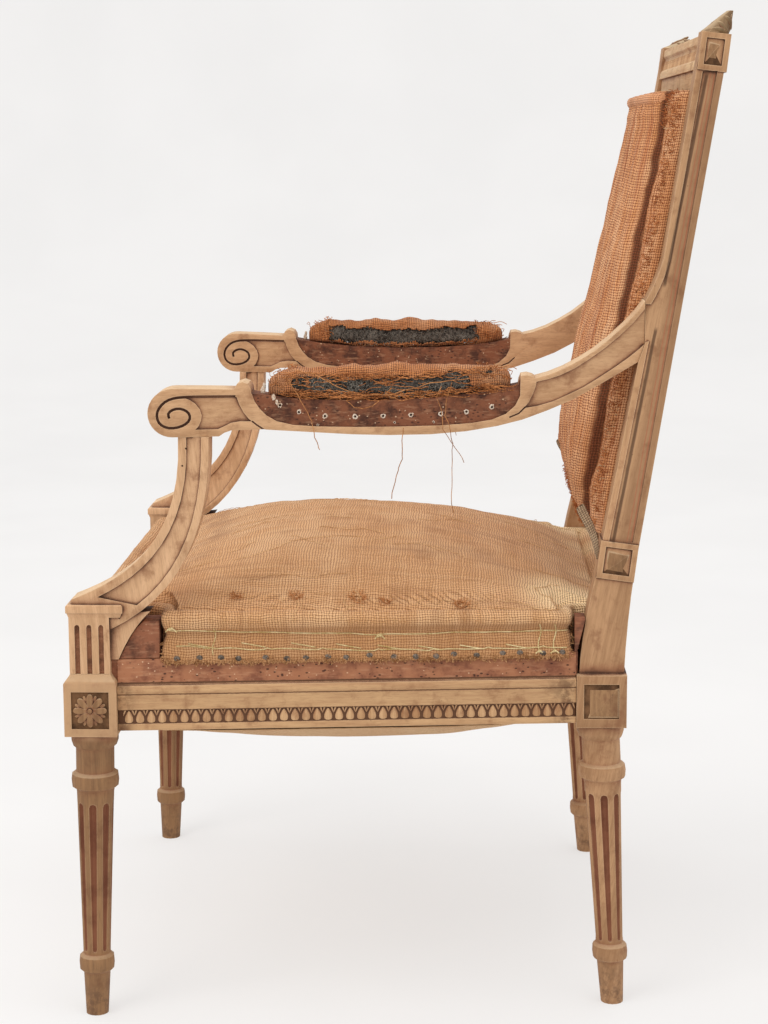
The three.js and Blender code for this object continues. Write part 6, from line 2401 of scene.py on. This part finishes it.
    def fillers(self, side: Side) -> None:
        """Rough wood that closes the corners between the tack strips and the legs.

        Args:
            side: the side of the chair.
        """
        parts = []
        for x0, x1, d0, d1, z0, z1 in self.corner_blocks:
            select_only(bpy.data.objects["front_rail_timber"])
            bpy.ops.mesh.primitive_cube_add(size=1)
            low, high = place(x0, d0, z0), place(x1, d1, z1)
            block = active()
            block.data.transform(Matrix.Translation((low + high) / 2) @ Matrix.Diagonal((*(high - low), 1)))
            if side is Side.RIGHT:
                mirrored(block.data)
            parts.append(modified(block, "BEVEL", width=1.2 * MM, segments=2))
        whole = joined(f"rough_corners_{side.word}", parts)
        wood = TackedWood(f"corner wood {side.word}", "8f5a40", "5f3a2a", 0.4)
        ride(dressed(whole, wood.material()), "rough_wood")

    def diamonds(self, side: Side, material: bpy.types.Material) -> None:
        """Low pyramids in the sunk panels of a back leg.

        Args:
            side: the side of the leg.
            material: the finish.
        """
        leg = bpy.data.objects[f"back_leg_{side.word}_timber"]
        lean = Vector((0, STILE_LEAN, 1)).normalized()
        parts = []
        for d, z, wide, tall, high, up in ((507.0, 320.6, 15.8, 15.6, 4.2, UP),
                                           (519.2, 460.0, 10.8, 10.8, 3.6, lean),
                                           (607.8, 957.3, 5.9, 9.2, 3.0, lean)):
            edge = side_spot(leg, side.value, d - wide, z, -0.4)
            base = frame_at(Vector((edge.x, place(0, d, 0).y, z * MM)), Vector((side.value, 0, 0)), up)
            corners = ((-wide, -tall, 0), (wide, -tall, 0), (wide, tall, 0), (-wide, tall, 0), (0, 0, high))
            parts.append(from_faces("diamond", [base @ (Vector(p) * MM) for p in corners],
                                    [(0, 1, 4), (1, 2, 4), (2, 3, 4), (3, 0, 4), (3, 2, 1, 0)]))
        ride(dressed(outward(joined(f"diamonds_{side.word}", parts)), material), "beech")

    def finial_leaves(self, side: Side, tall: float, material: bpy.types.Material) -> None:
        """Curled lobes over both faces of a finial and three ridges along its top.

        Args:
            side: the side of the finial.
            tall: its height, 1 when it is whole.
            material: the finish.
        """
        finial = bpy.data.objects[f"finial_{side.word}_timber"]
        lobes = []
        for face in (side.value, -side.value):
            for k, (d0, z0, d1, z1, wide) in enumerate(self.lobe_lines):
                path = []
                for share in (j / 8 for j in range(9)):
                    bow = math.sin(math.pi * share)
                    d = lerp(d0, d1, share) + 1.5 * bow * (1 if k % 2 else -1)
                    z = lerp(z0, 971 + (z1 - 971) * tall, share) + 2.4 * bow
                    hit, spot, _, _ = finial.ray_cast(place(212.35 * side.value + 40 * face, d, z),
                                                      Vector((-face, 0, 0)))
                    if hit:
                        path.append((spot, wide * math.sin(math.pi * (0.12 + 0.86 * share))))
                if len(path) > 3:
                    lobes.append(self.rib(path))
        for off in (-5.5, 0.5, 6.5):
            lobes.append(self.rib([
                (place(side.value * (212.3 + off), d + 1.2,
                       973 + (z - 973) * (tall - 0.06 * abs(off) / 6) - 0.5 * abs(off)), wide)
                for d, z, wide in self.ridge_line]))
        ride(smoothed(dressed(joined(f"finial_leaves_{side.word}", lobes), material)), "beech")

    def rib(self, path: Sequence[tuple[Vector, float]]) -> Piece:
        """A round rib along a path of places with radii in millimetres.

        Args:
            path: the places and radii.

        Returns:
            The rib.
        """
        rings = []
        for k, (at, radius) in enumerate(path):
            ahead = path[min(k + 1, len(path) - 1)][0] - path[max(k - 1, 0)][0]
            across = ahead.cross(Vector((1, 0, 0))).normalized()
            rings.append([at + (across * c + Vector((0.55, 0, 0)) * s) * radius * MM
                          for c, s in round_points(8)])
        return outward(skin("rib", rings))


@dataclass
class NailHoles:
    """Old nail holes with torn pale rims in the arms, and the small ones of the supports."""

    field_holes: tuple[Pair, ...] = (
        (190, 623), (208, 616), (233, 611.5), (262, 610.5), (289, 610.5), (316, 611), (345, 611.5),
        (370, 613), (395, 617), (338, 603.5), (300, 604), (226, 603),
    )
    large_holes: int = 9
    stump_holes: tuple[Pair, ...] = (
        (22, 395.5), (30, 414), (57, 487), (64, 500), (74, 519), (18, 385), (84, 535), (96, 566),
        (100, 583),
    )
    filler_lumps: tuple[Point, ...] = (
        (173, 636, 3.4), (174, 641, 2.2), (184, 631, 2.6), (187, 626, 2.2), (186, 637, 1.8),
    )

    def build(self) -> None:
        """Builds the holes of both sides."""
        for side in Side:
            arm = bpy.data.objects[f"arm_{side.word}_timber"]
            support = bpy.data.objects[f"arm_support_{side.word}_timber"]
            sign = side.value
            pale, pits = [], []
            for k, (d, z) in enumerate(self.field_holes):
                base, _ = self.on_face(arm, sign, d, z)
                size = 1.0 if k < self.large_holes else 0.55
                pale.append(self.rim(base, size, 7 * k + sign))
                pits.append(self.pit(base, 1.25 * size))
            for d, z in self.stump_holes:
                base, hit = self.on_face(support, sign, d, z)
                if hit:
                    pits.append(self.pit(base, 0.95))
            pale += [self.blob(arm, sign, *lump, k) for k, lump in enumerate(self.filler_lumps)]
            for name, parts, finish in (
                    ("torn_rims", pale, Plain("torn pale wood", "e9dccb", "b79a80", 700)),
                    ("nail_pits", pits, Plain("nail shadow", "33211a", "1b110c", 700))):
                ride(dressed(joined(f"{name}_{side.word}", parts), finish.material()), "beech")

    def on_face(self, piece: Piece, sign: int, d: float, z: float) -> tuple[Matrix, bool]:
        """The place and the way out on the outer face of a piece, and whether that face leans there.

        Args:
            piece: the timber.
            sign: the side's sign.
            d: the depth.
            z: the height.

        Returns:
            The place, and whether the face leans.
        """
        hit, spot, out = outer_face(piece, sign, d, z)
        if not hit:
            spot, out = place(290 * sign, d, z), Vector((sign, 0, 0))
        return frame_at(spot, out), abs(out.x) < 0.999999

    def rim(self, base: Matrix, size: float, seed: int) -> Piece:
        """A ragged ring of torn fibres.

        Args:
            base: its place.
            size: its size, 1 for a large hole.
            seed: what its draws start from.

        Returns:
            The rim.
        """
        dice = random.Random(seed)
        points = []
        for c, s in round_points(14):
            inner, outer = 1.2 * size, dice.uniform(1.9, 3.0) * size
            for radius, high in ((inner, 0.15), (lerp(inner, outer, 0.4), dice.uniform(0.5, 1.1) * size),
                                 (outer, 0.05)):
                points.append(base @ (Vector((radius * c, radius * s, high)) * MM))
        faces = [(3 * k + i, 3 * j + i, 3 * j + i + 1, 3 * k + i + 1)
                 for k, j in ((k, (k + 1) % 14) for k in range(14)) for i in (0, 1)]
        return from_faces("rim", points, faces)

    def pit(self, base: Matrix, radius: float) -> Piece:
        """The dark mouth of a hole."""
        ring = [base @ (Vector((radius * c, radius * s, 0.12)) * MM) for c, s in round_points(12)]
        return from_faces("pit", ring, [tuple(range(12))])

    def blob(self, arm: Piece, sign: int, d: float, z: float, size: float, seed: int) -> Piece:
        """A lump of old filler.

        Args:
            arm: the arm that it sits on.
            sign: the side's sign.
            d: the depth.
            z: the height.
            size: its size in millimetres.
            seed: what its shape starts from.

        Returns:
            The lump.
        """
        base, _ = self.on_face(arm, sign, d, z)
        select_only(arm)
        bpy.ops.mesh.primitive_ico_sphere_add(subdivisions=3, radius=1)
        blob = active()
        for vertex in blob.data.vertices:
            vertex.co *= 1 + 0.35 * noise.noise(vertex.co * 1.7 + Vector((seed, 0, 0)))
        blob.data.transform(base @ Matrix.Diagonal((0.7 * size * MM, 1.2 * size * MM, 0.45 * size * MM, 1)))
        return blob


# Studio


@dataclass
class Studio:
    """The pale floor and wall, the soft lamps and the camera at the photograph's place."""

    camera_place: Point = (2.4465, 0.0676, 0.8798)
    yaw: float = 2.09
    pitch: float = 9.55
    roll: float = -0.28
    lens: float = 78.75
    sensor: float = 36
    aim: Point = (0, 0, 0.45)
    floor_radius: float = 1.6
    curve: float = 1.2
    wall: Pair = (2.8, 5.0)
    spread: float = 2.2
    paper: tuple[str, str] = ("949392", "9a9998")
    glow: float = 0.58
    sky: Colour = (1.0, 0.99, 0.982, 1.0)
    sky_strength: float = 0.96

    def build(self) -> None:
        """Builds the studio."""
        self.camera()
        self.backdrop()
        self.lamps()

    def camera(self) -> None:
        """Points the camera as the photograph was taken."""
        yaw, pitch, roll = (math.radians(a) for a in (self.yaw, self.pitch, self.roll))
        ahead = Vector((-math.cos(pitch) * math.cos(yaw), -math.cos(pitch) * math.sin(yaw),
                        -math.sin(pitch)))
        right = ahead.cross(UP).normalized()
        up = right.cross(ahead)
        turned_right = right * math.cos(roll) + up * math.sin(roll)
        turned_up = up * math.cos(roll) - right * math.sin(roll)
        data = bpy.data.cameras.new("camera")
        data.lens = self.lens
        data.sensor_width = self.sensor
        camera = linked("camera", data)
        axes = Matrix((turned_right, turned_up, -ahead)).transposed().to_4x4()
        camera.matrix_world = Matrix.Translation(self.camera_place) @ axes
        bpy.context.scene.camera = camera

    def backdrop(self) -> None:
        """A floor that curves up into a wall behind the chair, closed round it as a wide bowl."""
        bends = [step / 8 * math.pi / 2 for step in range(9)]
        profile = [(self.curve, 0.0),
                   *((self.floor_radius + self.curve * math.sin(a), self.curve * (1 - math.cos(a)))
                     for a in bends), self.wall]
        rings = [[Vector((radius * c * self.spread, radius * s * self.spread, height))
                  for c, s in round_points(96)] for radius, height in profile]
        floor = skin("studio_floor", rings, caps=False)
        disc = from_faces("studio_disc", rings[0], [tuple(range(len(rings[0])))])
        p = Paint("studio paper")
        colour = p.mix(p.band(p.noise(p.here, 1.6, 3), 0.3, 0.7), *(rgb(tone) for tone in self.paper))
        material = p.finish(colour, 0.95, specular=0.0)
        shader = next(n for n in material.node_tree.nodes if n.type == "BSDF_PRINCIPLED")
        shader.inputs["Emission Color"].default_value = (1.0, 0.992, 0.988, 1.0)
        shader.inputs["Emission Strength"].default_value = self.glow
        dressed(smoothed(joined("studio_floor", [floor, disc])), material)

    def lamps(self) -> None:
        """Soft lamps from the front and above, and an even sky."""
        world = bpy.data.worlds.new("studio sky")
        world.use_nodes = True
        background = world.node_tree.nodes["Background"]
        background.inputs[0].default_value = self.sky
        background.inputs[1].default_value = self.sky_strength
        bpy.context.scene.world = world
        self.lamp("key", (2.4, -2.2, 3.2), 44, 2.0, (1.0, 0.985, 0.96))
        self.lamp("fill", (2.4, 2.6, 1.8), 8, 2.4, (0.95, 0.98, 1.0))
        self.lamp("top", (0.4, 0.0, 3.6), 26, 2.0, (1.0, 1.0, 1.0))

    def lamp(self, name: str, at: Point, power: float, size: float, colour: Point) -> None:
        """A square area lamp that looks at the middle of the chair.

        Args:
            name: the name of the lamp.
            at: its place.
            power: its watts.
            size: the side of its square.
            colour: its colour.
        """
        data = bpy.data.lights.new(name, "AREA")
        data.energy, data.size, data.color = power, size, colour
        lamp = linked(name, data)
        lamp.location = at
        lamp.rotation_euler = (Vector(self.aim) - Vector(at)).to_track_quat("-Z", "Y").to_euler()


def main() -> None:
    """Builds the studio and the chair, sub-assembly by sub-assembly."""
    logging.basicConfig(level=logging.INFO, format="%(message)s")
    bpy.context.scene.view_settings.view_transform = "Standard"
    for builder in (Studio(), Frame(), Underside(), SeatStuffing(), BackStuffing(), ArmPads(),
                    Carving(), NailHoles()):
        LOG.info("building %s", type(builder).__name__)
        builder.build()


if __name__ == "__main__":
    main()
